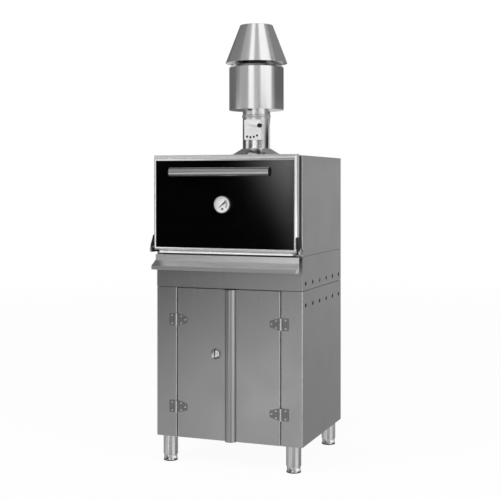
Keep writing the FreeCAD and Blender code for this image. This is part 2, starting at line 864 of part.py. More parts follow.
nose = "front - drawer_reach"
drawer_front = prism("drawer_front", "YZ", [
    ("tray_front", "drawer_top"),
    ("drawer_back", "drawer_top"),
    ("drawer_back", "drawer_crease"),
    (nose, "drawer_nose"),
    (nose, "apron_top"),
    ("tray_front", "apron_top"),
], ("-drawer_half", "drawer_half"))
carve(drawer_front, "YZ", [
    ("tray_front", "drawer_crease - sheet"),
    (f"{nose} + sheet", "drawer_nose - sheet"),
    (f"{nose} + sheet", "apron_top - sheet"),
    ("tray_front + sheet", "apron_top - sheet"),
    ("tray_front + sheet", "drawer_crease - sheet"),
], ("sheet - drawer_half", "drawer_half - sheet"))
keep(drawer_front, "ash_drawer_front")

# Oven section: outer sheets, front frame with the mouth, firebox, insulation, grate and racks.

SKIN_TOP = "oven_top - sheet"


def oven_side(name, hand):
    """Side of the oven with its front and rear flanges."""
    section = side_section(hand, "front", flange_fold("front"))
    side = prism(name, "XY", section, ("base_top", SKIN_TOP))
    for y in ("front", "back"):
        round_edges(side, "fold_radius", upright_at(f"{hand} * half_width", y))
    return side


def ash_opening(name, low, high):
    """Opening through which ash falls into the drawer."""
    start = "firebox_front + ash_opening_start"
    return block(name, ("-ash_opening_width / 2", "ash_opening_width / 2"),
                 (start, f"{start} + ash_opening_depth"), (low, high))


keep(group("oven_skins", [oven_side(f"oven_{name}", hand) for name, hand in SIDES.items()]), "oven_sides")
keep(block("oven_back", WIDE, BACK_SHEET, ("base_top", SKIN_TOP)), "oven_back")

lid = prism("oven_lid", "XY", rectangle(("-half_width", "half_width"), ("front", "back")),
            (SKIN_TOP, "oven_top"))
bore(lid, "XY", ("0", "flue_y"), "flue_radius + running_gap", ("oven_top - 2 * sheet", "oven_top + sheet"))
keep(lid, "oven_top")

floor_plate = block("floor_plate", WIDE, ("frame_front", "back_inside"), ("base_top", "floor_top"))
keep(cut("oven_floor", floor_plate, ash_opening("floor_opening", "base_top - plate", "hearth")), "oven_floor")

frame = prism("mouth_frame", "XZ", rectangle(WIDE, ("floor_top", SKIN_TOP)), ("frame_front", "firebox_front"))
carve(frame, "XZ", rectangle(("-mouth_half", "mouth_half"), ("mouth_bottom", "mouth_top")),
      ("frame_front - plate", "firebox_front + plate"))
keep(frame, "front_frame")

sill_low = "base_top + sill_lift"
sill_high = "base_top + sill_lift + sill_thickness"
sill_half = "half_width - front_flange - running_gap"
keep(prism("mouth_sill", "YZ", [
    ("front - sill_reach", sill_low),
    ("frame_front", sill_low),
    ("frame_front", sill_high),
    ("front - sill_reach + sill_bevel", sill_high),
    ("front - sill_reach", f"{sill_high} - sill_bevel"),
], (f"-({sill_half})", sill_half)), "sill")

shell_solid = block("shell_solid", ("-firebox_half", "firebox_half"), ("firebox_front", "firebox_back"),
                    ("floor_top", "firebox_top"))
shell_hollow = block("shell_hollow", ("-mouth_half", "mouth_half"),
                     ("firebox_front - plate", "firebox_back - plate"), ("hearth", "mouth_top"))
shell_flue = rod("shell_flue", "z", "flue_bore", ("0", "flue_y"),
                 ("mouth_top - plate", "firebox_top + plate"))
shell_opening = ash_opening("shell_opening", "base_top", "hearth + plate")
keep(cut("firebox", shell_solid, shell_hollow, shell_flue, shell_opening), "firebox_shell")

blanket_solid = block("blanket_solid", ("blanket_gap - inner_half", "inner_half - blanket_gap"),
                      ("firebox_front + blanket_gap", "back_inside - blanket_gap"),
                      ("floor_top + blanket_gap", f"{SKIN_TOP} - blanket_gap"))
blanket_hollow = block("blanket_hollow", ("-firebox_half - blanket_gap", "firebox_half + blanket_gap"),
                       ("frame_front", "firebox_back + blanket_gap"),
                       ("base_top", "firebox_top + blanket_gap"))
blanket_flue = rod("blanket_flue", "z", "flue_radius + blanket_gap", ("0", "flue_y"),
                   ("mouth_top", "oven_top"))
keep(cut("blanket", blanket_solid, blanket_hollow, blanket_flue), "insulation")

grate_bottom = "hearth + grate_foot"
grate_back = "grate_front + grate_depth"
grate = prism("grate", "XY", rectangle(("-grate_half", "grate_half"), ("grate_front", grate_back)),
              (grate_bottom, f"{grate_bottom} + grate_thickness"))
for edges in (("-grate_half", "grate_rail - grate_half"), ("grate_half - grate_rail", "grate_half")):
    prism("grate", "XY", rectangle(edges, ("grate_front", grate_back)), ("hearth", grate_bottom), owner=grate)
slot_count = "floor((grate_width - 2 * grate_border - grate_slot) / grate_pitch) + 1"
first_slot = f"-(({slot_count} - 1) * grate_pitch + grate_slot) / 2"
slot = carve(grate, "XY", rectangle((first_slot, f"{first_slot} + grate_slot"),
                                    ("grate_front + grate_border", f"{grate_back} - grate_border")),
             ("hearth", f"{grate_bottom} + grate_thickness + sheet"))
repeat(grate, slot, "X", slot_count, "grate_pitch")
keep(grate, "charcoal_grate")

RACK_LEVELS = {"lower": "base_top + lower_rack_rise", "upper": "base_top + upper_rack_rise"}
RACK_SPAN = ("rack_front", "rack_front + rack_depth")


def rack_runner(name, hand, level):
    """Angle on the firebox wall that a rack rests on."""
    wall = f"{hand} * mouth_half"
    edge = f"{hand} * (mouth_half - rack_runner_width)"
    web = f"{hand} * (mouth_half - rack_runner_plate)"
    return prism(name, "XZ", [
        (wall, level),
        (edge, level),
        (edge, f"{level} - rack_runner_plate"),
        (web, f"{level} - rack_runner_plate"),
        (web, f"{level} - rack_runner_width"),
        (wall, f"{level} - rack_runner_width"),
    ], RACK_SPAN)


def rack(name, level):
    """Grid of rods on cross bars."""
    bottom = f"{level} + running_gap"
    body = prism(name, "XY", rectangle(("-rack_half", "rack_half"), ("rack_front", "rack_front + rack_bar")),
                 (bottom, f"{bottom} + rack_bar"))
    repeat(body, body.Tip, "Y", "rack_bar_count", "(rack_depth - rack_bar) / (rack_bar_count - 1)")
    count = "floor((2 * rack_half - rack_bar) / rack_pitch) + 1"
    first = f"-({count} - 1) * rack_pitch / 2"
    seat = f"{bottom} + rack_bar + rack_rod_seat"
    rods = extrude(body, "Pad", draw_circle(body, "XZ", (first, seat), "rack_rod_radius",
                                            start_of("XZ", RACK_SPAN)), RACK_SPAN)
    repeat(body, rods, "X", count, "rack_pitch")
    return body


keep(group("rack_angles", [rack_runner(f"rack_runner_{level}_{name}", hand, height)
                           for level, height in RACK_LEVELS.items() for name, hand in SIDES.items()]),
     "rack_runners")
for level, height in RACK_LEVELS.items():
    keep(rack(f"{level}_grid", height), f"{level}_rack")

# Oven door: bevelled frame round the front panel, insulation and liner behind it, seal on its back.

CREST = "1 / 2"
WINDOW = (("-window_half", "window_half"), ("window_bottom", "window_top"))


def loft(owner, kind, first, second):
    """Ruled loft between two sketches of a body."""
    feature = owner.newObject("PartDesign::" + kind, f"{owner.Name}_{kind.lower()}")
    feature.Profile = first
    feature.Sections = [second]
    feature.Ruled = True
    doc.recompute()


def door_outline(owner, inset, y):
    """Door outline drawn at a depth, moved in by a share of the strip widths."""
    across = (f"{inset} * strip_side - door_half", f"door_half - {inset} * strip_side")
    upward = (f"door_bottom + {inset} * strip_bottom", f"oven_door_top - {inset} * strip_top")
    return draw(owner, "XZ", rectangle(across, upward), f"-({y})")


door_frame = prism("door_frame", "XZ",
                   rectangle(("-door_half", "door_half"), ("door_bottom", "oven_door_top")),
                   ("door_shoulder", "door_back"))
loft(door_frame, "AdditiveLoft", door_outline(door_frame, "0", "door_shoulder"),
     door_outline(door_frame, CREST, "door_crest"))
loft(door_frame, "SubtractiveLoft", door_outline(door_frame, CREST, "door_crest"),
     door_outline(door_frame, "1", "panel_face"))
carve(door_frame, "XZ", rectangle(*WINDOW), ("door_crest - sheet", "door_back + sheet"))
keep(door_frame, "oven_door_frame")


def probe_hole(name, gap):
    """Hole for the thermometer's probe through the whole door."""
    return rod(name, "y", f"probe_radius + {gap}", ("0", "dial_z"), ("door_crest", "front"))


def door_layer(name, gap, low, high):
    """Layer of the door inside the frame, with a gap round it and round the probe."""
    across, upward = WINDOW
    solid = block(name + "_solid", (f"{across[0]} + {gap}", f"{across[1]} - {gap}"), (low, high),
                  (f"{upward[0]} + {gap}", f"{upward[1]} - {gap}"))
    return cut(name, solid, probe_hole(name + "_hole", gap))


keep(door_layer("door_panel", "running_gap", "panel_face", "panel_back"), "oven_door_panel")
keep(door_layer("door_blanket", "blanket_gap", "panel_back + blanket_gap", "liner_front - blanket_gap"),
     "oven_door_insulation")
keep(door_layer("door_liner", "running_gap", "liner_front", "door_back"), "oven_door_liner")


def round_mouth(name, margin, low, high):
    """Block that stands out by a margin all round the mouth."""
    return block(name, (f"-mouth_half - {margin}", f"mouth_half + {margin}"), (low, high),
                 (f"mouth_bottom - {margin}", f"mouth_top + {margin}"))


seal_outer = round_mouth("seal_outer", "(seal_margin + seal_width)", "door_back", "frame_front - running_gap")
seal_inner = round_mouth("seal_inner", "seal_margin", "door_back - sheet", "frame_front")
keep(cut("seal", seal_outer, seal_inner), "oven_door_seal")

# Oven door hinges: an eye on each door arm, a bracket on the body, and a pin through both.

EYE = ("pivot_y", "pivot_z")


def span_on(hand, low, high):
    """Range in X on one hand."""
    return sorted((f"{hand} * ({low})", f"{hand} * ({high})"), key=amount)


def pivot_bore(name, hand, radius):
    """Bore for the hinge pin."""
    return rod(name, "x", radius, EYE, span_on(hand, "door_half", "eye_outer + sheet"))


def hinge_arm(name, hand):
    """Plate on the door's side with a tapering rib and an eye outside the bracket."""
    foot_z = "pivot_z + arm_rise"
    plate = block(name + "_plate", span_on(hand, "door_half", "arm_face"),
                  ("pivot_y - door_ridge", "pivot_y - door_ridge + arm_width"),
                  (foot_z, f"{foot_z} + arm_height"))
    rib = prism(name + "_rib", "XZ", [
        (f"{hand} * (door_half)", foot_z),
        (f"{hand} * (eye_inner)", foot_z),
        (f"{hand} * (eye_inner)", "pivot_z"),
        (f"{hand} * (eye_outer)", "pivot_z"),
        (f"{hand} * (eye_outer)", f"{foot_z} + arm_shoulder"),
        (f"{hand} * (arm_face)", f"{foot_z} + arm_height"),
        (f"{hand} * (door_half)", f"{foot_z} + arm_height"),
    ], ("pivot_y - rib_thickness / 2", "pivot_y + rib_thickness / 2"))
    eye = rod(name + "_eye", "x", "eye_radius", EYE, span_on(hand, "eye_inner", "eye_outer"))
    return cut(name, join(name + "_blank", plate, rib, eye),
               pivot_bore(name + "_bore", hand, "pivot_pin_radius + pin_clearance"))


def hinge_bracket(name, hand):
    """Body bracket: a foot on the front flange and a forward plate that ends in an eye."""
    heights = ("pivot_z - eye_radius", "pivot_z + eye_radius")
    sides = span_on(hand, "bracket_inner", "bracket_outer")
    plate = block(name + "_plate", sides, ("pivot_y", "front"), heights)
    eye = rod(name + "_eye", "x", "eye_radius", EYE, sides)
    foot_plate = block(name + "_foot", span_on(hand, "bracket_outer - bracket_foot", "bracket_outer"),
                       ("front - bracket_foot_plate", "front"), heights)
    return cut(name, join(name + "_blank", plate, eye, foot_plate),
               pivot_bore(name + "_bore", hand, "pivot_pin_radius"))


keep(group("arms", [hinge_arm(f"hinge_arm_{name}", hand) for name, hand in SIDES.items()]),
     "oven_door_hinge_arms")
keep(group("brackets", [hinge_bracket(f"hinge_bracket_{name}", hand) for name, hand in SIDES.items()]),
     "oven_door_hinge_brackets")
pivots = [rod(f"pivot_{name}", "x", "pivot_pin_radius", EYE, span_on(hand, "bracket_inner", "eye_outer"))
          for name, hand in SIDES.items()]
keep(group("pivots", pivots), "oven_door_hinge_pins")

# Door handle: tube with plugged ends on two posts.

HANDLE = ("handle_y", "handle_z")


def handle_rod(name, radius, reach):
    """Rod along the handle's axis, longer than the tube by the reach at each end."""
    return rod(name, "x", radius, HANDLE, (f"-handle_length / 2 - {reach}", f"handle_length / 2 + {reach}"))


def handle_cap(name, hand):
    """End cap with a plug inside the tube."""
    end = "handle_length / 2"
    plug = "handle_radius - handle_wall - pin_clearance"
    cap = spin(name, "XY", [(f"{hand} * ({x})", r) for x, r in (
        (f"{end} - cap_plug", "0"),
        (f"{end} - cap_plug", plug),
        (end, plug),
        (end, "handle_radius"),
        (f"{end} + cap_length", "handle_radius"),
        (f"{end} + cap_length", "0"),
    )], axis="H_Axis")
    round_edges(cap, "cap_round", ring_at("x", f"{hand} * ({end} + cap_length)", "handle_radius"))
    put(cap, "0", *HANDLE)
    return cap


def handle_post(name, hand):
    """Round post from the panel to the tube, hollowed to the tube's curve."""
    post = rod(name + "_rod", "y", "post_radius", (f"{hand} * post_spacing / 2", "handle_z"),
               ("handle_y", "panel_face"))
    return cut(name, post, handle_rod(name + "_saddle", "handle_radius + pin_clearance", "0"))


keep(cut("handle_tube", handle_rod("handle_outer", "handle_radius", "0"),
         handle_rod("handle_inner", "handle_radius - handle_wall", "sheet")), "door_handle_tube")
keep(group("caps", [handle_cap(f"handle_cap_{name}", hand) for name, hand in SIDES.items()]),
     "door_handle_caps")
keep(group("posts", [handle_post(f"handle_post_{name}", hand) for name, hand in SIDES.items()]),
     "door_handle_posts")

# Thermometer: case with its probe, dial, needle on a spindle, and glass.

case_bore = "dial_radius - case_wall"
case = spin("case", "XY", [
    ("0", "front + probe_reach"),
    ("probe_radius", "front + probe_reach"),
    ("probe_radius", "panel_face"),
    ("dial_radius", "panel_face"),
    ("dial_radius", "case_front"),
    (case_bore, "case_front"),
    (case_bore, "dial_back"),
    ("0", "dial_back"),
])
round_edges(case, "case_round", ring_at("y", "case_front", "dial_radius"))
put(case, z="dial_z")
keep(case, "thermometer_case")
DIAL = ("0", "dial_z")
dial_disc = rod("dial_disc", "y", f"{case_bore} - pin_clearance", DIAL, ("dial_face", "dial_back"))
dial_eye = rod("dial_eye", "y", "spindle_radius + pin_clearance", DIAL, ("needle_back", "panel_face"))
keep(cut("dial", dial_disc, dial_eye), "thermometer_dial")
glass_disc = rod("glass", "y", f"{case_bore} - pin_clearance", DIAL,
                 ("glass_front", "glass_front + glass_thickness"))
keep(glass_disc, "thermometer_glass")

NEEDLE_DEPTH = ("needle_back - needle_thickness", "needle_back")
pointer = prism("pointer", "XZ", [
    ("-needle_width / 2", "-needle_tail"),
    ("needle_width / 2", "-needle_tail"),
    ("needle_point / 2", "needle_length"),
    ("-needle_point / 2", "needle_length"),
], NEEDLE_DEPTH)
hub = rod("hub", "y", "hub_radius", ("0", "0"), ("needle_back - 2 * needle_thickness", "needle_back"))
spindle = rod("spindle", "y", "spindle_radius", ("0", "0"), ("needle_back", "dial_back - pin_clearance"))
needle = join("needle", pointer, hub, spindle)
turn(needle, (0, 1, 0), "needle_angle")
put(needle, z="dial_z")
keep(needle, "thermometer_needle")

# Flue: collar on the oven top, neck tube from the firebox, spark drum and hat.

def flue_piece(name, outline):
    """Round flue piece about the flue's axis."""
    piece = spin(name, "XZ", outline)
    put(piece, y="flue_y")
    return piece


bead = "neck_top - bead_drop"
neck = flue_piece("neck", [
    ("flue_bore", "firebox_top"),
    ("flue_radius", "firebox_top"),
    ("flue_radius", f"{bead} - bead_height / 2"),
    ("flue_radius + bead_depth", f"{bead} - bead_flat / 2"),
    ("flue_radius + bead_depth", f"{bead} + bead_flat / 2"),
    ("flue_radius", f"{bead} + bead_height / 2"),
    ("flue_radius", "neck_top"),
    ("flue_bore", "neck_top"),
])
bore(neck, "XZ", ("0", "damper_z"), "shaft_radius + pin_clearance", ("-2 * flue_radius", "2 * flue_radius"))
keep(neck, "flue_neck")

collar_bore = "flue_radius + running_gap"
keep(flue_piece("collar", [
    ("collar_radius", "oven_top"),
    ("collar_radius", "oven_top + collar_rim"),
    (f"{collar_bore} + sheet", "oven_top + collar_height"),
    (collar_bore, "oven_top + collar_height"),
    (collar_bore, "oven_top + collar_height - 2 * sheet"),
    ("collar_radius - 2 * sheet", "oven_top"),
]), "flue_collar")

keep(flue_piece("drum", [
    ("flue_bore", "neck_top"),
    ("drum_radius", "neck_top"),
    ("drum_radius", "drum_top - drum_shoulder"),
    ("drum_radius - drum_shoulder", "drum_top"),
    ("drum_mouth_radius", "drum_top"),
    ("drum_mouth_radius", "drum_top - sheet"),
    ("drum_radius - drum_shoulder - sheet", "drum_top - sheet"),
    ("drum_radius - sheet", "drum_top - drum_shoulder - sheet"),
    ("drum_radius - sheet", "neck_top + sheet"),
    ("flue_bore", "neck_top + sheet"),
]), "spark_drum")

hat_top = "hat_bottom + hat_height"
keep(flue_piece("hat", [
    ("hat_radius - sheet", "hat_bottom"),
    ("hat_radius", "hat_bottom"),
    ("hat_top_radius", hat_top),
    ("hat_top_radius - sheet", hat_top),
]), "hat_cone")


def hat_stay(name, angle):
    """Strip that stands on the drum and reaches the inside of the hat."""
    corner = "sqrt(stay_radius * stay_radius + stay_width * stay_width / 4)"
    reach = f"(hat_radius - sheet - running_gap - {corner}) * hat_height / (hat_radius - hat_top_radius)"
    outline = rectangle(("stay_radius - stay_thickness", "stay_radius"),
                        ("-stay_width / 2", "stay_width / 2"))
    stay = prism(name, "XY", outline, ("drum_top", f"hat_bottom + {reach}"))
    turn(stay, (0, 0, 1), str(angle))
    put(stay, y="flue_y")
    return stay


STAYS = 3
REAR_STAY = 90
stays = [hat_stay(f"hat_stay_{number}", REAR_STAY + number * 360 // STAYS) for number in range(STAYS)]
keep(group("stays", stays), "hat_stays")

# Flue damper: index plate on the neck, blade on its shaft, lever and knob.

def reach_to_neck(x):
    """Depth from the index face to the neck's wall at a distance from its axis."""
    return f"flue_radius + index_stand - sqrt(flue_radius * flue_radius - ({x}) * ({x})) - running_gap"


left_return = f"index_face + {reach_to_neck('index_left - sheet')}"
right_return = f"index_face + {reach_to_neck('index_right - sheet')}"
index_plate = prism("index_plate", "XY", [
    ("-index_left", left_return),
    ("-index_left", "index_face"),
    ("index_right", "index_face"),
    ("index_right", right_return),
    ("index_right - sheet", right_return),
    ("index_right - sheet", "index_face + sheet"),
    ("sheet - index_left", "index_face + sheet"),
    ("sheet - index_left", left_return),
], ("oven_top + index_rise", "oven_top + index_rise + index_height"))
THROUGH_INDEX = ("index_face - sheet", "index_face + 2 * sheet")
bore(index_plate, "XZ", ("0", "damper_z"), "shaft_radius + pin_clearance", THROUGH_INDEX)
hole_count = int(amount("index_hole_count"))
for number in range(hole_count):
    share = f"{number} / (index_hole_count - 1)"
    sweep = f"(index_first_angle + (index_last_angle - index_first_angle) * {share})"
    bore(index_plate, "XZ",
         (f"index_hole_circle * cos({sweep})", f"damper_z - index_hole_circle * sin({sweep})"),
         "index_hole_radius", THROUGH_INDEX)
keep(index_plate, "damper_index_plate")

blade_disc = rod("blade_disc", "z", "flue_bore - blade_gap", ("0", "0"), ("-sheet / 2", "sheet / 2"))
shaft = rod("shaft", "y", "shaft_radius", ("0", "0"),
            ("lever_front - sheet - flue_y", "flue_radius + shaft_radius"))
blade = join("blade", blade_disc, shaft)
turn(blade, (0, 1, 0), "lever_angle")
put(blade, "0", "flue_y", "damper_z")
keep(blade, "damper_blade")

LEVER_DEPTH = ("lever_front", "lever_back")
lever_bar = block("lever_bar", ("0", "lever_length"), LEVER_DEPTH, ("-lever_width / 2", "lever_width / 2"))
lever_ends = [rod(f"lever_end_{number}", "y", "lever_width / 2", (x, "0"), LEVER_DEPTH)
              for number, x in enumerate(("0", "lever_length"))]
lever_eye = rod("lever_eye", "y", "shaft_radius + pin_clearance", ("0", "0"),
                ("lever_front - sheet", "index_face"))
lever = cut("lever", join("lever_blank", lever_bar, *lever_ends), lever_eye)
turn(lever, (0, 1, 0), "lever_angle")
put(lever, z="damper_z")
keep(lever, "damper_lever")

knob = spin("knob", "XY", [
    ("0", "lever_front"),
    ("damper_knob_neck", "lever_front"),
    ("damper_knob_neck", "lever_front - damper_knob_shank"),
    ("damper_knob_radius", "lever_front - damper_knob_flare"),
    ("damper_knob_radius", "lever_front - damper_knob_length"),
    ("0", "lever_front - damper_knob_length"),
])
round_edges(knob, "damper_knob_round",
            ring_at("y", "lever_front - damper_knob_length", "damper_knob_radius"))
put(knob, "lever_length * cos(lever_angle)", "0", "damper_z - lever_length * sin(lever_angle)")
keep(knob, "damper_knob")

# Every feature has to have worked before the sub-parts are written.

doc.recompute()
for thing in doc.Objects:
    if {"Invalid", "Error"} & set(thing.State):
        raise ValueError(f"{thing.Label} failed: {thing.State}")
for thing in SUB_PARTS:
    if thing.Shape.isNull() or not thing.Shape.isValid():
        raise ValueError(f"{thing.Label} has no valid shape")

os.makedirs("parts", exist_ok=True)
for thing in SUB_PARTS:
    thing.Shape.exportStep(f"parts/{thing.Label}.step")
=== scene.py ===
import json
import math

import bmesh
import bpy
from mathutils import Matrix, Vector


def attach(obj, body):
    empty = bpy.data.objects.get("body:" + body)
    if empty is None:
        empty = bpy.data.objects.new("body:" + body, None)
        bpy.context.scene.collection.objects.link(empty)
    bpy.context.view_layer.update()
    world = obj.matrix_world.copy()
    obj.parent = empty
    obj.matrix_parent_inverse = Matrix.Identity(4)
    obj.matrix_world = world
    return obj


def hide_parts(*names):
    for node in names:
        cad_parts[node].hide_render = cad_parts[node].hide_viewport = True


# Charcoal oven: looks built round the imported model, in metres. X runs right, Y back and Z up.

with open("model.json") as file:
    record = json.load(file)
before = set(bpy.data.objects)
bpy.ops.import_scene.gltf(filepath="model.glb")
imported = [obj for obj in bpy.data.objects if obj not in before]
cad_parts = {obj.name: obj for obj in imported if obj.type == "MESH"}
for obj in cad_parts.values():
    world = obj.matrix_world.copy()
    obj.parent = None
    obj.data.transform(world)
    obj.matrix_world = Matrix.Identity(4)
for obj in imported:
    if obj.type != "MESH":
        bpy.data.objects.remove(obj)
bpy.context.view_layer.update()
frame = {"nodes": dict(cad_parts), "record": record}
NODES = frame["nodes"]
RECORD = frame["record"]
SLOT_OF = {part["node"]: part["material_slot"] for part in RECORD["subparts"]}
BODY_OF = {node: body for body, nodes in RECORD["behaviour"]["bodies"].items() for node in nodes}
scene = bpy.context.scene
scene.view_settings.view_transform = "Standard"


# Node helpers

def feed(tree, socket, value):
    """Link a socket to another one, or set its value."""
    if isinstance(value, bpy.types.NodeSocket):
        tree.links.new(value, socket)
    else:
        socket.default_value = value


def add(tree, kind, inputs=None, **settings):
    """Place a node with its settings and its inputs."""
    node = tree.nodes.new(kind)
    for name, value in settings.items():
        setattr(node, name, value)
    for name, value in (inputs or {}).items():
        feed(tree, node.inputs[name], value)
    return node


def calc(tree, operation, first, second):
    """One step of arithmetic on two values."""
    return add(tree, "ShaderNodeMath", {0: first, 1: second}, operation=operation).outputs[0]


def wave(tree, operation, angle):
    """Sine or cosine of an angle."""
    return add(tree, "ShaderNodeMath", {0: angle}, operation=operation).outputs[0]


def weighed(tree, first, weight, second, second_weight):
    """Sum of two values, each times its weight."""
    return calc(tree, "ADD", calc(tree, "MULTIPLY", first, weight),
                calc(tree, "MULTIPLY", second, second_weight))


def mixed(tree, factor, first, second):
    """Mix two colours."""
    node = add(tree, "ShaderNodeMix", {0: factor, 6: first, 7: second}, data_type="RGBA")
    return node.outputs[2]


def spread(tree, value, low, high, start=0.0, end=1.0):
    """Map a value from one range to another."""
    node = add(tree, "ShaderNodeMapRange", {"Value": value, "From Min": start, "From Max": end,
                                            "To Min": low, "To Max": high})
    return node.outputs["Result"]


def less_and_more(value, share):
    """A value made lower and higher by a share of it."""
    return value * (1 - share), value * (1 + share)


def grey(level, tint=0.0):
    """Neutral colour, a little cooler with more tint."""
    return (level, level, level + tint, 1.0)


# Shared effects

BROAD_GRAIN = 0.35
BROAD_SHARE, FINE_SHARE = 0.55, 0.45
MARK_RANGE = (0.42, 0.68)
WEAR_SHEEN_PER_METRE = 70.0
WEAR_SHEEN_RANGE = (0.3, 0.65)
WEAR_SHEEN_LEAST = 0.35
SOOT_WIDE, SOOT_CLOSE = 9.0, 160.0
SOOT_WIDE_SHARE, SOOT_CLOSE_SHARE = 0.7, 0.3
SOOT_RANGE = (0.75, 1.25)


def shader_group(name, inputs, outputs):
    """Start a shader group with named sockets."""
    group = bpy.data.node_groups.new(name, "ShaderNodeTree")
    for direction, sockets in (("INPUT", inputs), ("OUTPUT", outputs)):
        for socket, kind in sockets.items():
            group.interface.new_socket(name=socket, in_out=direction, socket_type="NodeSocket" + kind)
    return group, group.nodes.new("NodeGroupInput").outputs, group.nodes.new("NodeGroupOutput").inputs


def noise(tree, place, scale, detail=3.0, roughness=0.6):
    """Noise value at a place."""
    node = add(tree, "ShaderNodeTexNoise", {"Vector": place, "Scale": scale, "Detail": detail,
                                            "Roughness": roughness})
    return node.outputs["Fac"]


def brush_grain():
    """Fine lines left by a brushing belt: Lines is how many there are to a metre along each axis."""
    group, given, out = shader_group("brush_grain", {"Place": "Vector", "Lines": "Vector"},
                                     {"Tone": "Float", "Height": "Float"})
    drawn = add(group, "ShaderNodeVectorMath", {0: given["Place"], 1: given["Lines"]}, operation="MULTIPLY")
    broad = noise(group, drawn.outputs[0], BROAD_GRAIN)
    fine = noise(group, drawn.outputs[0], 1.0)
    feed(group, out["Tone"], weighed(group, broad, BROAD_SHARE, fine, FINE_SHARE))
    feed(group, out["Height"], fine)
    return group


def soft_marks():
    """Wide faint patches from handling and wiping."""
    group, given, out = shader_group("soft_marks", {"Place": "Vector", "PerMetre": "Float"}, {"Mask": "Float"})
    patch = noise(group, given["Place"], given["PerMetre"], detail=2.0, roughness=0.5)
    feed(group, out["Mask"], spread(group, patch, 0.0, 1.0, *MARK_RANGE))
    return group


def edge_wear():
    """Broken bright line along the edges that a piece's edge attribute marks: edge wear, and on steel partly a
    painted highlight on edges and fold roundings.
    """
    group, given, out = shader_group("edge_wear", {"Edge": "Float", "Place": "Vector"}, {"Mask": "Float"})
    broken = spread(group, noise(group, given["Place"], WEAR_SHEEN_PER_METRE), WEAR_SHEEN_LEAST, 1.0, *WEAR_SHEEN_RANGE)
    feed(group, out["Mask"], calc(group, "MULTIPLY", given["Edge"], broken))
    return group


def soot():
    """Burnt-on soot and ash dust in two sizes of patch."""
    group, given, out = shader_group("soot", {"Place": "Vector", "Cover": "Float"},
                                     {"Mask": "Float", "Height": "Float"})
    wide = noise(group, given["Place"], SOOT_WIDE, detail=5.0, roughness=0.65)
    close = noise(group, given["Place"], SOOT_CLOSE, detail=3.0, roughness=0.7)
    both = weighed(group, wide, SOOT_WIDE_SHARE, close, SOOT_CLOSE_SHARE)
    lifted = calc(group, "ADD", both, given["Cover"])
    feed(group, out["Mask"], spread(group, lifted, 0.0, 1.0, *SOOT_RANGE))
    feed(group, out["Height"], close)
    return group


BRUSH_GRAIN = brush_grain()
SOFT_MARKS = soft_marks()
EDGE_WEAR_AND_SHEEN = edge_wear()
SOOT = soot()


# Materials

# Lines or threads to a metre along X, Y and Z
ALONG_X = (9.0, 2400.0, 2400.0)
ALONG_Z = (2400.0, 2400.0, 9.0)
ROUND_Z = (9.0, 9.0, 2400.0)
SATIN = (900.0, 900.0, 900.0)
MATTED = (500.0, 160.0, 500.0)
GRAIN_RANGE = (0.3, 0.7)
STEEL_TINT = 0.004
STEEL_UNEVEN, PAINT_UNEVEN = 0.15, 0.1
WIPED_SHARE, WIPED_LEVEL = 4, 0.86
EDGE_WEAR_SHEEN_LEVEL = 1.8
RUBBED_SHARE, RUBBED_LEVEL, RUBBED_LIFT = 0.5, 2.2, 0.02
THREAD_LOW, THREAD_HIGH = 0.75, 1.15
GLASS_ROUGHNESS, GLASS_ALPHA = (0.02, 0.08), (0.04, 0.07)
BRIGHTEST = 0.95
DUSTY_ROUGHNESS = 0.95


class Finish:
    """A material under way: its tree, shader and place on the surface."""

    def __init__(self, name):
        self.material = bpy.data.materials.new(name)
        self.material.use_nodes = True
        self.tree = self.material.node_tree
        self.shader = self.tree.nodes["Principled BSDF"]
        self.place = add(self.tree, "ShaderNodeTexCoord").outputs["Object"]

    def effect(self, group, **inputs):
        """Place a shared effect and give its outputs."""
        node = add(self.tree, "ShaderNodeGroup", node_tree=group)
        feed(self.tree, node.inputs["Place"], self.place)
        for name, value in inputs.items():
            feed(self.tree, node.inputs[name], value)
        return node.outputs

    def worn(self):
        """Mask of the worn edges, which on steel also carry a painted highlight."""
        edge = add(self.tree, "ShaderNodeAttribute", attribute_name="edge").outputs["Fac"]
        return self.effect(EDGE_WEAR_AND_SHEEN, Edge=edge)["Mask"]

    def bump(self, height, strength, distance):
        """Raise the surface by a height."""
        node = add(self.tree, "ShaderNodeBump", {"Height": height, "Strength": strength, "Distance": distance})
        feed(self.tree, self.shader.inputs["Normal"], node.outputs["Normal"])

    def set(self, **values):
        """Set or link the shader's inputs, with _ for a space in their names."""
        for name, value in values.items():
            feed(self.tree, self.shader.inputs[name.replace("_", " ")], value)


def steel(name, level, roughness, lines, contrast=0.05, marks=0.03, wear_and_sheen=0.6, metallic=1.0):
    """Stainless steel with a brushed grain, faint wiping marks and brighter edges, which are partly edge wear and
    partly a painted highlight.
    """
    made = Finish(name)
    tree = made.tree
    grain = made.effect(BRUSH_GRAIN, Lines=lines)
    wiped = made.effect(SOFT_MARKS, PerMetre=6.0)["Mask"]
    toned = mixed(tree, spread(tree, grain["Tone"], 0.0, 1.0, *GRAIN_RANGE),
                  *[grey(shade, STEEL_TINT) for shade in less_and_more(level, contrast)])
    dulled = mixed(tree, calc(tree, "MULTIPLY", wiped, marks * WIPED_SHARE), toned,
                   grey(level * WIPED_LEVEL, STEEL_TINT))
    # Brighter edges: edge wear, and a painted highlight along folds and corners.
    worn_and_sheened = mixed(tree, calc(tree, "MULTIPLY", made.worn(), wear_and_sheen), dulled,
                  grey(min(BRIGHTEST, level * EDGE_WEAR_SHEEN_LEVEL), STEEL_TINT))
    rough = calc(tree, "ADD", spread(tree, grain["Tone"], *less_and_more(roughness, STEEL_UNEVEN), *GRAIN_RANGE),
                 calc(tree, "MULTIPLY", wiped, marks))
    made.set(Base_Color=worn_and_sheened, Metallic=metallic, Roughness=rough)
    made.bump(grain["Height"], strength=0.06, distance=0.00005)
    return made.material


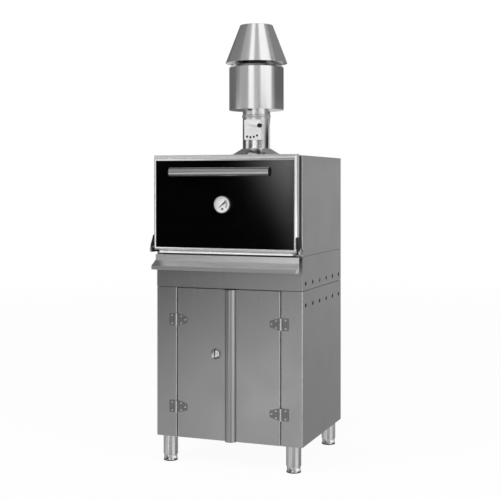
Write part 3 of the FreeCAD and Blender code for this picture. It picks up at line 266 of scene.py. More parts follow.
def paint(name, level, roughness, marks=0.06, speckle=900.0, specular=0.5):
    """Enamel, paint or moulded plastic: fine texture, marks and rubbed edges."""
    made = Finish(name)
    tree = made.tree
    fine = noise(tree, made.place, speckle, detail=2.0)
    wiped = made.effect(SOFT_MARKS, PerMetre=11.0)["Mask"]
    toned = mixed(tree, fine, *[grey(shade) for shade in less_and_more(level, PAINT_UNEVEN)])
    rubbed = mixed(tree, calc(tree, "MULTIPLY", made.worn(), RUBBED_SHARE), toned,
                   grey(min(BRIGHTEST, level * RUBBED_LEVEL + RUBBED_LIFT)))
    rough = calc(tree, "ADD", spread(tree, fine, *less_and_more(roughness, PAINT_UNEVEN)),
                 calc(tree, "MULTIPLY", wiped, marks))
    made.set(Base_Color=rubbed, Roughness=rough, Specular_IOR_Level=specular)
    made.bump(fine, strength=0.05, distance=0.0001)
    return made.material


def burnt(name, level, ash, cover, metallic, roughness):
    """Fire-side metal under soot and pale ash dust."""
    made = Finish(name)
    tree = made.tree
    dirt = made.effect(SOOT, Cover=cover)
    made.set(Base_Color=mixed(tree, dirt["Mask"], grey(level), grey(ash)), Metallic=metallic,
             Roughness=spread(tree, dirt["Mask"], roughness, DUSTY_ROUGHNESS))
    made.bump(dirt["Height"], strength=0.3, distance=0.0006)
    return made.material


def fibre(name, level):
    """Ceramic fibre in matted threads."""
    made = Finish(name)
    tree = made.tree
    threads = made.effect(BRUSH_GRAIN, Lines=MATTED)
    made.set(Base_Color=mixed(tree, threads["Tone"], grey(level * THREAD_LOW), grey(level * THREAD_HIGH)),
             Roughness=DUSTY_ROUGHNESS)
    made.bump(threads["Height"], strength=0.6, distance=0.001)
    return made.material


def clear_glass(name):
    """Flat cover glass with faint smears."""
    made = Finish(name)
    smear = made.effect(SOFT_MARKS, PerMetre=40.0)["Mask"]
    made.set(Base_Color=grey(0.98), Roughness=spread(made.tree, smear, *GLASS_ROUGHNESS),
             Alpha=spread(made.tree, smear, *GLASS_ALPHA))
    return made.material


# How each material slot of the record looks
LOOKS = {
    # Body and door sheets have strong bright edges: edge wear, and a painted highlight along their folds and
    # corners.
    "body_sheet": (steel, dict(level=0.40, roughness=0.30, lines=ALONG_Z, wear_and_sheen=0.8)),
    "door_sheet": (steel, dict(level=0.40, roughness=0.30, lines=ALONG_Z, wear_and_sheen=0.8)),
    "leg_steel": (steel, dict(level=0.62, roughness=0.18, lines=ROUND_Z)),
    "hinge_steel": (steel, dict(level=0.26, roughness=0.4, lines=SATIN)),
    "lock_chrome": (steel, dict(level=0.7, roughness=0.08, lines=SATIN, contrast=0.02, marks=0.02)),
    "drawer_steel": (steel, dict(level=0.9, roughness=0.34, lines=ALONG_X)),
    "tray_steel": (steel, dict(level=0.5, roughness=0.42, lines=ALONG_X)),
    # Sill steel is near white and mostly not metallic: a painted highlight for its bright strip.
    "sill_steel": (steel, dict(level=0.95, roughness=0.6, lines=ALONG_X, contrast=0.02, marks=0.01, metallic=0.2)),
    "firebox_steel": (burnt, dict(level=0.05, ash=0.16, cover=0.1, metallic=0.4, roughness=0.6)),
    "grate_iron": (burnt, dict(level=0.035, ash=0.3, cover=0.0, metallic=0.2, roughness=0.75)),
    "rack_steel": (steel, dict(level=0.5, roughness=0.3, lines=ALONG_X)),
    "insulation_wool": (fibre, dict(level=0.75)),
    "seal_rope": (fibre, dict(level=0.14)),
    "door_frame_steel": (steel, dict(level=0.93, roughness=0.22, lines=ALONG_X, metallic=0.8)),
    "black_panel": (paint, dict(level=0.0012, roughness=0.07, marks=0.015, speckle=700.0, specular=0.7)),
    "hinge_black": (paint, dict(level=0.012, roughness=0.4, specular=0.3)),
    "handle_steel": (steel, dict(level=0.62, roughness=0.22, lines=ALONG_X)),
    "handle_black": (paint, dict(level=0.01, roughness=0.38, specular=0.2)),
    "thermometer_rim": (steel, dict(level=0.75, roughness=0.15, lines=SATIN, contrast=0.03, marks=0.02)),
    "dial_white": (paint, dict(level=0.92, roughness=0.5)),
    "needle_black": (paint, dict(level=0.01, roughness=0.4)),
    "clear_glass": (clear_glass, {}),
    "neck_steel": (steel, dict(level=0.93, roughness=0.1, lines=ROUND_Z, contrast=0.02, marks=0.02)),
    "flue_steel": (steel, dict(level=0.93, roughness=0.16, lines=ROUND_Z, contrast=0.02, marks=0.02)),
    "damper_steel": (steel, dict(level=0.86, roughness=0.5, lines=SATIN, contrast=0.03, metallic=0.2)),
    "knob_black": (paint, dict(level=0.012, roughness=0.2)),
}
FINISH = {slot: made_by(slot, **values) for slot, (made_by, values) in LOOKS.items()}
for node_name, node_object in NODES.items():
    for held in node_object.material_slots:
        held.material = FINISH[SLOT_OF[node_name]]


# Finished pieces

SHARP_ANGLE = math.radians(28)
KNOB_ANGLE = math.radians(50)
FLAT_ANGLE = math.radians(0.4)
WELD = 5e-6
FINE_EASE = 0.0004
SHEET_EASE = 0.0007
BOLD_EASE = 0.0014
VENT_STEP = 0.003
FOLD_LENGTH = 0.02


def mesh_of(name, form):
    """Mesh of a bmesh, which is used up."""
    mesh = bpy.data.meshes.new(name)
    form.to_mesh(mesh)
    form.free()
    return mesh


def piece(name, form, slot, body, nodes=()):
    """Turn a bmesh into a piece that rides on a body and stands for some nodes."""
    mesh = mesh_of(name, form)
    if "custom_normal" in mesh.attributes:
        mesh.attributes.remove(mesh.attributes["custom_normal"])
    return settled(name, mesh, slot, body, nodes)


def settled(name, mesh, slot, body, nodes=()):
    """Put a mesh in the scene as a piece with the finish of its slot."""
    mesh.materials.clear()
    mesh.materials.append(FINISH[slot])
    mesh.polygons.foreach_set("material_index", [0] * len(mesh.polygons))
    made = bpy.data.objects.new(name, mesh)
    scene.collection.objects.link(made)
    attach(made, body)
    if nodes:
        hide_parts(*nodes)
    return made


def rounded(face, edge_mask, crease):
    """Whether a face is part of a rounding or a curved wall, not of a flat sheet."""
    if face[edge_mask]:
        return True
    for edge in face.edges:
        if len(edge.link_faces) == 2 and not any(side[edge_mask] for side in edge.link_faces):
            if FLAT_ANGLE < edge.calc_face_angle() < crease:
                return True
    return False


def eased(node, ease, other_slot=None, other=None, seams=None, crease=SHARP_ANGLE):
    """Piece like a node, with the edges sharper than crease eased, but not round the vents.

    Faces that the other test picks become a piece with a finish of its own, and seams says how far the
    edges at a height move up.
    """
    form = bmesh.new()
    form.from_mesh(NODES[node].data)
    bmesh.ops.remove_doubles(form, verts=form.verts, dist=WELD)
    bmesh.ops.dissolve_limit(form, angle_limit=FLAT_ANGLE, verts=form.verts, edges=form.edges)
    edge_mask = form.faces.layers.float.new("edge")
    for vert in form.verts:
        vert.co.z += (seams or {}).get(round(vert.co.z, 4), 0.0)
    least = VENT_STEP if ease > FINE_EASE else 0.0
    sharp = [edge for edge in form.edges if len(edge.link_faces) == 2
             and edge.calc_face_angle() > crease and edge.calc_length() > least]
    rounds = set(bmesh.ops.bevel(form, geom=sharp, offset=ease, offset_type="OFFSET", segments=2, profile=0.5,
                                 affect="EDGES", clamp_overlap=True)["faces"])
    for face in form.faces:
        # Long narrow faces are the roundings of folds; marked as edges, they take a painted highlight.
        length = max(edge.calc_length() for edge in face.edges)
        folded = length > FOLD_LENGTH and face.calc_area() / length < ease
        face[edge_mask] = float(face in rounds or folded)
    for face in form.faces:
        face.smooth = rounded(face, edge_mask, crease)
    for edge in form.edges:
        sides = edge.link_faces
        edge.smooth = (len(sides) == 2 and sides[0][edge_mask] == sides[1][edge_mask]
                       and edge.calc_face_angle() < crease)
    if other:
        rest = form.copy()
        for part, wanted in ((form, False), (rest, True)):
            away = [face for face in part.faces if other(face.calc_center_median()) != wanted]
            bmesh.ops.delete(part, geom=away, context="FACES")
        piece(f"{node}_{other_slot}", rest, other_slot, BODY_OF[node])
    return piece(f"{node}_finished", form, SLOT_OF[node], BODY_OF[node], [node])


EASED = {
    FINE_EASE: ["hinge_pins", "damper_lever", "damper_knob", "damper_index_plate",
                "door_handle_posts", "oven_door_hinge_pins", "hat_stays", "thermometer_needle"],
    SHEET_EASE: ["cabinet_left_side", "cabinet_right_side", "oven_top", "left_cabinet_door",
                 "right_cabinet_door", "leg_tubes", "flue_collar", "flue_neck", "spark_drum",
                 "hat_cone", "oven_door_hinge_brackets", "oven_door_panel", "door_handle_tube",
                 "door_handle_caps", "sill", "ash_drawer_tray", "cabinet_back", "oven_back"],
    BOLD_EASE: ["oven_sides"],
}
for ease, nodes in EASED.items():
    for node in nodes:
        eased(node, ease)

# The photo's panel shows no image of the handle, so mirrored rays pass it by.
for part in ("tube", "caps", "posts"):
    bpy.data.objects[f"door_handle_{part}_finished"].visible_glossy = False

HINGE_AXIS_X = 0.240
KNUCKLE_REACH = 0.0055
LEAF_FRONT = -0.2365
KNUCKLE_BACK = LEAF_FRONT - 0.0002
LOCK_X = -0.055
LOCK_SLOT_HALF = 0.0021
LOCK_SLOT_FRONT, LOCK_SLOT_BACK = -0.2485, -0.234
DOOR_EYE_TOP = 0.9405
DOOR_EYE_INSIDE = 0.3355
FOOT_PAD_TOP = 0.0045
DRAWER_NOSE = 0.8605
DRAWER_LIP = -0.3025
FRAME_SIDE = 0.3255
DIAL_CENTRE = Vector((0.0, -0.293, 1.1265))
DIAL_BARREL = 0.035
DIAL_BARREL_FRONT, DIAL_BARREL_BACK = -0.303, -0.287
BASE_LOW, BASE_HIGH = 0.763, 0.91
LOW_SEAM = {BASE_LOW: 0.002}
BOTH_SEAMS = {BASE_LOW: 0.002, BASE_HIGH: -0.0013}


def on_knuckle(place):
    """Whether a place lies on a butt hinge's knuckles."""
    return abs(abs(place.x) - HINGE_AXIS_X) < KNUCKLE_REACH and place.y < KNUCKLE_BACK


def on_door_eye(place):
    """Whether a place lies on the oven door's hinge eyes."""
    return abs(place.x) > DOOR_EYE_INSIDE and place.z < DOOR_EYE_TOP


def on_foot_pad(place):
    """Whether a place lies on a foot's lower rim."""
    return place.z < FOOT_PAD_TOP


def in_lock_slot(place):
    """Whether a place lies in the lock knob's slot."""
    return abs(place.x - LOCK_X) < LOCK_SLOT_HALF and LOCK_SLOT_FRONT < place.y < LOCK_SLOT_BACK


def on_drawer_lip(place):
    """Whether a place lies on the turned-down lip of the drawer front."""
    return place.z < DRAWER_NOSE and place.y < DRAWER_LIP


def on_frame_side(place):
    """Whether a place lies on the outer side of the oven door's frame."""
    return abs(place.x) > FRAME_SIDE


def on_dial_barrel(place):
    """Whether a place lies on the side of the thermometer's case."""
    return (math.hypot(place.x, place.z - DIAL_CENTRE.z) > DIAL_BARREL
            and DIAL_BARREL_FRONT < place.y < DIAL_BARREL_BACK)


eased("base_sides", BOLD_EASE, seams=BOTH_SEAMS)
eased("base_front", SHEET_EASE, seams=LOW_SEAM)
eased("base_back", SHEET_EASE, seams=BOTH_SEAMS)
# The outer sides of the door frame take the darker handle steel: painted shade on the frame's sides.
eased("oven_door_frame", BOLD_EASE, "handle_steel", on_frame_side)
eased("thermometer_case", FINE_EASE, "handle_black", on_dial_barrel)
# The lock knob's slot is black: painted shade in the slot.
eased("lock_knob", FINE_EASE, "handle_black", in_lock_slot, crease=KNOB_ANGLE)
# The drawer's turned-down lip takes the darker tray steel: painted shade on the lip.
eased("ash_drawer_front", BOLD_EASE, "tray_steel", on_drawer_lip)
for leaves in ("hinge_jamb_leaves", "left_door_hinge_leaves", "right_door_hinge_leaves"):
    eased(leaves, FINE_EASE, "handle_steel", on_knuckle)
eased("oven_door_hinge_arms", SHEET_EASE, "lock_chrome", on_door_eye)
for corner in ("front_left", "front_right", "rear_left", "rear_right"):
    eased(f"levelling_foot_{corner}", FINE_EASE, "handle_black", on_foot_pad)


# Repeats, made by Geometry Nodes

def growing_group(name, inputs):
    """Start a geometry group with named inputs."""
    group = bpy.data.node_groups.new(name, "GeometryNodeTree")
    for socket, kind in inputs.items():
        group.interface.new_socket(name=socket, in_out="INPUT", socket_type="NodeSocket" + kind)
    group.interface.new_socket(name="Geometry", in_out="OUTPUT", socket_type="NodeSocketGeometry")
    out = group.nodes.new("NodeGroupOutput").inputs["Geometry"]
    return group, group.nodes.new("NodeGroupInput").outputs, out


def closed_off(group, shapes, finish, out):
    """End a geometry group in plain geometry with its finish."""
    plain = add(group, "GeometryNodeRealizeInstances", {"Geometry": shapes}).outputs[0]
    feed(group, out, add(group, "GeometryNodeSetMaterial", {"Geometry": plain, "Material": finish}).outputs[0])


def evaluated_mesh(holder):
    """Mesh of an object as it is now."""
    view = bpy.context.evaluated_depsgraph_get()
    return bpy.data.meshes.new_from_object(holder.evaluated_get(view), depsgraph=view)


def grown(name, mesh, group, **inputs):
    """Mesh that a geometry group makes from a mesh and its inputs."""
    holder = bpy.data.objects.new(name + "_holder", mesh)
    scene.collection.objects.link(holder)
    modifier = holder.modifiers.new(name, "NODES")
    modifier.node_group = group
    for item in group.interface.items_tree:
        if item.item_type == "SOCKET" and item.in_out == "INPUT" and item.name in inputs:
            modifier[item.identifier] = inputs[item.name]
    made = evaluated_mesh(holder)
    made.name = name
    holder.modifiers.remove(modifier)
    bpy.data.objects.remove(holder)
    return made


def loose_points(name, places, edges=()):
    """Mesh of bare points, with lines between some of them."""
    mesh = bpy.data.meshes.new(name)
    mesh.from_pydata(places, edges, [])
    return mesh


def pattern_object(name, form):
    """Object that a geometry group repeats."""
    made = bpy.data.objects.new(name, mesh_of(name, form))
    scene.collection.objects.link(made)
    return made


def turned_form(profile, segments):
    """Closed form turned about Y from radius and depth pairs.

    The pairs start and end on the axis, or end where they start and make a ring.
    """
    form = bmesh.new()
    turns = [2 * math.pi * number / segments for number in range(segments)]
    rings = []
    for radius, depth in profile:
        if radius == 0:
            rings.append([form.verts.new((0, depth, 0))] * segments)
        else:
            rings.append([form.verts.new((radius * math.cos(turn), depth, radius * math.sin(turn)))
                          for turn in turns])
    for inner, outer in zip(rings, rings[1:]):
        for number in range(segments):
            after = (number + 1) % segments
            corners = (inner[number], inner[after], outer[after], outer[number])
            form.faces.new(list(dict.fromkeys(corners)))
    bmesh.ops.remove_doubles(form, verts=form.verts, dist=WELD)
    bmesh.ops.recalc_face_normals(form, faces=form.faces)
    return form


# Share of the radius and of the height, from the crown to the seat
PAN_HEAD = ((0, 1), (0.55, 0.94), (0.86, 0.68), (1, 0.25), (1, 0), (0, 0))
PAN_SEGMENTS = 20


def slotted_head(radius, height, slot, depth):
    """Pan head of a screw with a driver slot, facing the front."""
    form = turned_form([(radius * reach, -height * rise) for reach, rise in PAN_HEAD], PAN_SEGMENTS)
    for side in (-slot / 2, slot / 2):
        everything = form.verts[:] + form.edges[:] + form.faces[:]
        bmesh.ops.bisect_plane(form, geom=everything, plane_co=(side, 0, 0), plane_no=(1, 0, 0))
    floor = [face for face in form.faces if abs(face.calc_center_median().x) < slot / 2
             and face.calc_center_median().y < -height * 0.5]
    grown_floor = bmesh.ops.extrude_face_region(form, geom=floor)["geom"]
    sunk = [item for item in grown_floor if isinstance(item, bmesh.types.BMVert)]
    bmesh.ops.translate(form, verts=sunk, vec=(0, depth, 0))
    bmesh.ops.delete(form, geom=floor, context="FACES")
    for face in form.faces:
        face.smooth = False
    return form


def small_parts():
    """Small parts set on points, each turned by chance up to an angle about Y."""
    group, given, out = growing_group("small_parts", {"Places": "Geometry", "Part": "Object", "Finish": "Material",
                                                      "Turn": "Float", "Seed": "Int"})
    shape = add(group, "GeometryNodeObjectInfo", {"Object": given["Part"]}).outputs["Geometry"]
    turn = add(group, "FunctionNodeRandomValue", {2: 0.0, 3: given["Turn"], "Seed": given["Seed"]},
               data_type="FLOAT")
    about = add(group, "ShaderNodeCombineXYZ", {"Y": turn.outputs[1]}).outputs[0]
    lie = add(group, "FunctionNodeEulerToRotation", {0: about}).outputs[0]
    set_in = add(group, "GeometryNodeInstanceOnPoints", {"Points": given["Places"], "Instance": shape,
                                                         "Rotation": lie}).outputs[0]
    closed_off(group, set_in, given["Finish"], out)
    return group


SMALL_PARTS = small_parts()


def set_rows(name, form, places, slot, body, turn=0.0, seed=1):
    """Piece of small parts of one form, with one at each place."""
    part = pattern_object(name + "_part", form)
    spots = loose_points(name + "_spots", places)
    rows = grown(name, spots, SMALL_PARTS, Part=part, Finish=FINISH[slot], Turn=turn, Seed=seed)
    settled(name, rows, slot, body)
    bpy.data.objects.remove(part)


HINGE_HEIGHTS = (0.244, 0.623)
# Places of a hinge's screws: X, and height from the hinge's middle
LEAF_SCREWS = {
    "body": [(side * 0.261, lift) for side in (-1, 1) for lift in (-0.0177, 0.0177)],
    "left_door": [(-0.199, 0.0), (-0.219, -0.0148), (-0.219, 0.0148)],
    "right_door": [(0.199, 0.0), (0.219, -0.0148), (0.219, 0.0148)],
}
for number, (body, places) in enumerate(LEAF_SCREWS.items()):
    set_rows(f"{body}_hinge_screws", slotted_head(radius=0.0042, height=0.0016, slot=0.0011, depth=0.0007),
             [(x, LEAF_FRONT, height + lift) for x, lift in places for height in HINGE_HEIGHTS],
             "handle_steel", body, turn=math.pi, seed=number + 3)

BACK_FACE = 0.351
BACK_HALF = 0.298
BACK_INSET = 0.016
BACK_PITCH = 0.15
CABINET_LOW, OVEN_HIGH = 0.112, 1.331
BACK_PANELS = ((CABINET_LOW, BASE_LOW), (BASE_LOW, BASE_HIGH), (BASE_HIGH, OVEN_HIGH))


def even_steps(low, high, pitch):
    """Places from one end to the other, about a pitch apart."""
    count = max(1, round((high - low) / pitch))
    return [low + (high - low) * step / count for step in range(count + 1)]


def back_spots():
    """Places of the screws round the edge of each back panel."""
    spots = set()
    across = even_steps(-BACK_HALF, BACK_HALF, BACK_PITCH)
    for low, high in BACK_PANELS:
        heights = even_steps(low + BACK_INSET, high - BACK_INSET, BACK_PITCH)
        spots |= {(side * BACK_HALF, height) for side in (-1, 1) for height in heights}
        spots |= {(x, height) for x in across for height in (heights[0], heights[-1])}
    return [(x, BACK_FACE, height) for x, height in sorted(spots)]


back_head = slotted_head(radius=0.0052, height=0.0016, slot=0.0012, depth=0.0007)
bmesh.ops.rotate(back_head, verts=back_head.verts, matrix=Matrix.Rotation(math.pi, 3, "Z"))
set_rows("back_screws", back_head, back_spots(), "handle_steel", "body", turn=math.pi, seed=7)

INDEX_FACE = 0.047
INDEX_COUNT = 4
INDEX_CIRCLE = 0.062
INDEX_START, INDEX_SWEEP = 62, 46
DAMPER_HEIGHT = 1.487
# Radius and depth of a dark plug's outline, and of a vent's dark ring below: both are painted shade in holes
SHADE_PLUG_PROFILE = ((0, 0.0009), (0.0012, 0.0008), (0.0018, -0.0001), (0.0048, -0.0001), (0.0052, 0.0),
                (0.0039, 0.0), (0.0039, 0.0016), (0, 0.0016))
index_turns = [math.radians(INDEX_START + INDEX_SWEEP * step / (INDEX_COUNT - 1)) for step in range(INDEX_COUNT)]
# Black plugs with flanges wider than the index holes: painted shade in and round the holes.
set_rows("damper_index_plugs", turned_form(SHADE_PLUG_PROFILE, segments=16),
         [(INDEX_CIRCLE * math.cos(turn), INDEX_FACE, DAMPER_HEIGHT - INDEX_CIRCLE * math.sin(turn))
          for turn in index_turns], "knob_black", "body")

VENT_SHEET = 0.335
VENT_HEIGHTS = (0.702, 0.793)
VENT_FIRST, VENT_PITCH, VENT_COUNT = -0.188, 0.1, 6
VENT_SHADE_RING = ((0.0073, 0.0018), (0.0073, -0.0001), (0.0085, -0.0003), (0.0091, 0.0), (0.0091, 0.0005),
             (0.0073, 0.0018))
# Black rings lining the vent holes: painted shade inside the holes.
for side, hand in (("left", -1), ("right", 1)):
    ring = turned_form(VENT_SHADE_RING, segments=24)
    bmesh.ops.rotate(ring, verts=ring.verts, matrix=Matrix.Rotation(math.radians(90 * hand), 3, "Z"))
    set_rows(f"{side}_vent_edges", ring,
             [(hand * VENT_SHEET, VENT_FIRST + VENT_PITCH * step, height) for step in range(VENT_COUNT)
              for height in VENT_HEIGHTS], "hinge_black", "body")


# Thermometer: print of the dial, and the needle's blade

DIAL_START = math.radians(-135)
DIAL_SWEEP = math.radians(270)
DIAL_RADIUS = 0.0272
DIAL_TOP = 500
NUMBER_STEP = 100
NUMBER_RADIUS = 0.0178
NUMBER_HEIGHT = 0.0042
NUMBER_LIFT = 0.0001
NUMBER_HALF_DEPTH = 0.00008
NUMBER_WELD = 1e-7
BAND_START = 300
BAND_STEPS = 36
BAND_INNER, BAND_OUTER = 0.0132, 0.0222
ADJUSTER_PLACE = DIAL_CENTRE + Vector((-0.002, 0, -0.0192))
BAR_TAPER = 0.8
NEEDLE_REST = math.radians(38.2)
NEEDLE_FRONT = -0.296
# Distance from the needle's axis and half the blade's width there
NEEDLE_STATIONS = ((-0.0205, 0.0010), (-0.004, 0.0022), (0.003, 0.0038), (0.0125, 0.0040), (0.0185, 0.0010),
                   (0.0266, 0.0003))


def dial_turn(value):
    """Angle of a value on the dial, clockwise from the top."""
    return DIAL_START + DIAL_SWEEP * value / DIAL_TOP


def dial_marks():
    """Marks round the dial, every so many of them long."""
    group, given, out = growing_group("dial_marks", {"Spots": "Geometry", "Mark": "Object", "Finish": "Material",
                                                     "Count": "Int", "Every": "Int", "Radius": "Float",
                                                     "Start": "Float", "Sweep": "Float", "Short": "Float",
                                                     "Centre": "Vector"})
    shape = add(group, "GeometryNodeObjectInfo", {"Object": given["Mark"]}).outputs["Geometry"]
    number = add(group, "GeometryNodeInputIndex").outputs[0]
    share = calc(group, "DIVIDE", number, calc(group, "SUBTRACT", given["Count"], 1.0))
    turn = calc(group, "ADD", given["Start"], calc(group, "MULTIPLY", given["Sweep"], share))
    spot = add(group, "ShaderNodeCombineXYZ", {
        "X": calc(group, "MULTIPLY", given["Radius"], wave(group, "SINE", turn)),
        "Z": calc(group, "MULTIPLY", given["Radius"], wave(group, "COSINE", turn)),
    }).outputs[0]
    ring = add(group, "GeometryNodePoints", {"Count": given["Count"], "Position": spot}).outputs[0]
    about = add(group, "ShaderNodeCombineXYZ", {"Y": turn}).outputs[0]
    lie = add(group, "FunctionNodeEulerToRotation", {0: about}).outputs[0]
    uneven = calc(group, "GREATER_THAN", calc(group, "MODULO", number, given["Every"]), 0.5)
    cut = calc(group, "SUBTRACT", 1.0, given["Short"])
    length = calc(group, "SUBTRACT", 1.0, calc(group, "MULTIPLY", uneven, cut))
    size = add(group, "ShaderNodeCombineXYZ", {"X": length, "Y": 1.0, "Z": length}).outputs[0]
    set_in = add(group, "GeometryNodeInstanceOnPoints", {"Points": ring, "Instance": shape, "Rotation": lie,
                                                         "Scale": size}).outputs[0]
    placed = add(group, "GeometryNodeTransform", {"Geometry": set_in, "Translation": given["Centre"]}).outputs[0]
    closed_off(group, placed, given["Finish"], out)
    return group


def raised_bar(half, length, height):
    """Printed bar of the dial's scale, which runs in from its outer end."""
    corners = ((-half, -length), (half, -length), (half, 0), (-half, 0))
    form = bmesh.new()
    low = [form.verts.new((x, 0.0, z)) for x, z in corners]
    top = [form.verts.new((x * BAR_TAPER, -height, z)) for x, z in corners]
    form.faces.new(top)
    for number in range(4):
        after = (number + 1) % 4
        form.faces.new((low[number], low[after], top[after], top[number]))
    bmesh.ops.recalc_face_normals(form, faces=form.faces)
    return form


def dial_number(value):
    """One number of the dial, upright at its place on the scale."""
    figures = bpy.data.curves.new(f"dial_{value}", "FONT")
    figures.body = str(value)
    figures.size = NUMBER_HEIGHT
    figures.align_x = "CENTER"
    figures.align_y = "CENTER"
    figures.extrude = NUMBER_HALF_DEPTH
    holder = bpy.data.objects.new(f"dial_{value}_holder", figures)
    scene.collection.objects.link(holder)
    mesh = evaluated_mesh(holder)
    bpy.data.objects.remove(holder)
    turn = dial_turn(value)
    spot = Vector((NUMBER_RADIUS * math.sin(turn), -NUMBER_LIFT, NUMBER_RADIUS * math.cos(turn)))
    mesh.transform(Matrix.Translation(DIAL_CENTRE + spot) @ Matrix.Rotation(math.radians(90), 4, "X"))
    form = bmesh.new()
    form.from_mesh(mesh)
    bmesh.ops.remove_doubles(form, verts=form.verts, dist=NUMBER_WELD)
    piece(f"dial_number_{value}", form, "needle_black", "oven_door")


def lofted(rows):
    """Closed form through rows of places, where each row is a loop."""
    form = bmesh.new()
    loops = [[form.verts.new(place) for place in row] for row in rows]
    for here, after in zip(loops, loops[1:]):
        for number in range(len(here)):
            beside = (number + 1) % len(here)
            form.faces.new((here[number], here[beside], after[beside], after[number]))
    form.faces.new(loops[0])
    form.faces.new(loops[-1])
    bmesh.ops.recalc_face_normals(form, faces=form.faces)
    return form


def dial_band(first, last, height):
    """Grey band on the dial over the hot end of its scale, between two turns."""
    profile = ((BAND_INNER, 0), (BAND_INNER, height), (BAND_OUTER, height), (BAND_OUTER, 0))
    rows = []
    for number in range(BAND_STEPS + 1):
        turn = first + (last - first) * number / BAND_STEPS
        aim = Vector((math.sin(turn), 0, math.cos(turn)))
        rows.append([DIAL_CENTRE + aim * radius - Vector((0, depth, 0)) for radius, depth in profile])
    return lofted(rows)


def needle_blade(ridge):
    """Ridged blade that lies on the needle, from its tail to its tip."""
    along = Vector((math.cos(NEEDLE_REST), 0, math.sin(NEEDLE_REST)))
    across = Vector((-along.z, 0, along.x))
    start = Vector((DIAL_CENTRE.x, NEEDLE_FRONT, DIAL_CENTRE.z))
    rows = []
    for reach, half in NEEDLE_STATIONS:
        middle = start + along * reach
        rows.append([middle + across * half, middle + Vector((0, -ridge, 0)), middle - across * half])
    return lofted(rows)


dial_mark = pattern_object("dial_mark", raised_bar(half=0.00032, length=0.0052, height=0.00015))
scale = grown("dial_scale", loose_points("dial_spots", []), dial_marks(), Mark=dial_mark,
              Finish=FINISH["needle_black"], Count=51, Every=5, Radius=DIAL_RADIUS, Start=DIAL_START,
              Sweep=DIAL_SWEEP, Short=0.55, Centre=DIAL_CENTRE)
settled("dial_scale", scale, "needle_black", "oven_door")
bpy.data.objects.remove(dial_mark)
for value in range(0, DIAL_TOP + 1, NUMBER_STEP):
    dial_number(value)
# The band has its own grey, and takes the slot of the dial's print.
band_form = dial_band(dial_turn(BAND_START), dial_turn(DIAL_TOP), height=0.00005)
band = piece("dial_band", band_form, "needle_black", "oven_door")
band.data.materials[0] = paint("band_grey", level=0.42, roughness=0.5)
adjuster = slotted_head(radius=0.0054, height=0.0007, slot=0.0009, depth=0.0003)
bmesh.ops.translate(adjuster, verts=adjuster.verts, vec=ADJUSTER_PLACE)
piece("dial_adjuster", adjuster, "needle_black", "oven_door")
piece("needle_blade", needle_blade(ridge=0.0006), "needle_black", "needle")


# Rope seal of the oven door

SEAL_HALF = 0.277
SEAL_LOW, SEAL_HIGH = 0.937, 1.271
SEAL_CORNER = 0.02
SEAL_CORNER_STEPS = 6
SEAL_DEPTH = -0.24165
STRAND_SIDES = 8


def seal_path():
    """Loop that the seal follows round the mouth, as points and lines."""
    places = []
    for x_side, z_side, start in ((1, 1, 0), (-1, 1, 90), (-1, -1, 180), (1, -1, 270)):
        x = x_side * (SEAL_HALF - SEAL_CORNER)
        z = (SEAL_HIGH - SEAL_CORNER) if z_side > 0 else (SEAL_LOW + SEAL_CORNER)
        for step in range(SEAL_CORNER_STEPS + 1):
            turn = math.radians(start + 90 * step / SEAL_CORNER_STEPS)
            places.append((x + SEAL_CORNER * math.cos(turn), SEAL_DEPTH, z + SEAL_CORNER * math.sin(turn)))
    return places, [(number, (number + 1) % len(places)) for number in range(len(places))]


def twisted_rope(strands):
    """Rope of twisted strands along a closed line that lies across Y."""
    group, given, out = growing_group("twisted_rope", {"Path": "Geometry", "Finish": "Material", "Turns": "Int",
                                                       "Step": "Float", "Flat": "Float", "Thick": "Float",
                                                       "Strand": "Float"})
    line = add(group, "GeometryNodeMeshToCurve", {0: given["Path"]}).outputs[0]
    even = add(group, "GeometryNodeResampleCurve", {"Curve": line, "Length": given["Step"]},
               mode="LENGTH").outputs[0]
    along = add(group, "GeometryNodeSplineParameter").outputs["Factor"]
    turned = calc(group, "MULTIPLY", calc(group, "MULTIPLY", along, given["Turns"]), 2 * math.pi)
    tangent = add(group, "GeometryNodeInputTangent").outputs[0]
    across = add(group, "ShaderNodeVectorMath", {0: tangent, 1: (0, 1, 0)},
                 operation="CROSS_PRODUCT").outputs[0]
    round_strand = add(group, "GeometryNodeCurvePrimitiveCircle", {"Resolution": STRAND_SIDES,
                                                                   "Radius": given["Strand"]}).outputs[0]
    joined = add(group, "GeometryNodeJoinGeometry")
    for number in range(strands):
        angle = calc(group, "ADD", turned, 2 * math.pi * number / strands)
        flat = calc(group, "MULTIPLY", given["Flat"], wave(group, "COSINE", angle))
        thick = calc(group, "MULTIPLY", given["Thick"], wave(group, "SINE", angle))
        sideways = add(group, "ShaderNodeVectorMath", {0: across, "Scale": flat}, operation="SCALE").outputs[0]
        depth = add(group, "ShaderNodeCombineXYZ", {"Y": thick}).outputs[0]
        offset = add(group, "ShaderNodeVectorMath", {0: sideways, 1: depth}, operation="ADD").outputs[0]
        laid = add(group, "GeometryNodeSetPosition", {"Geometry": even, "Offset": offset}).outputs[0]
        tube = add(group, "GeometryNodeCurveToMesh", {"Curve": laid, "Profile Curve": round_strand}).outputs[0]
        group.links.new(tube, joined.inputs[0])
    closed_off(group, joined.outputs[0], given["Finish"], out)
    return group


seal_line = loose_points("seal_line", *seal_path())
rope = grown("oven_door_seal_rope", seal_line, twisted_rope(strands=3), Finish=FINISH["seal_rope"], Turns=56,
             Step=0.003, Flat=0.0026, Thick=0.0056, Strand=0.0034)
settled("oven_door_seal_rope", rope, "seal_rope", "oven_door", ["oven_door_seal"])


# Studio: cards that the steel mirrors, white world and floor, soft light and camera

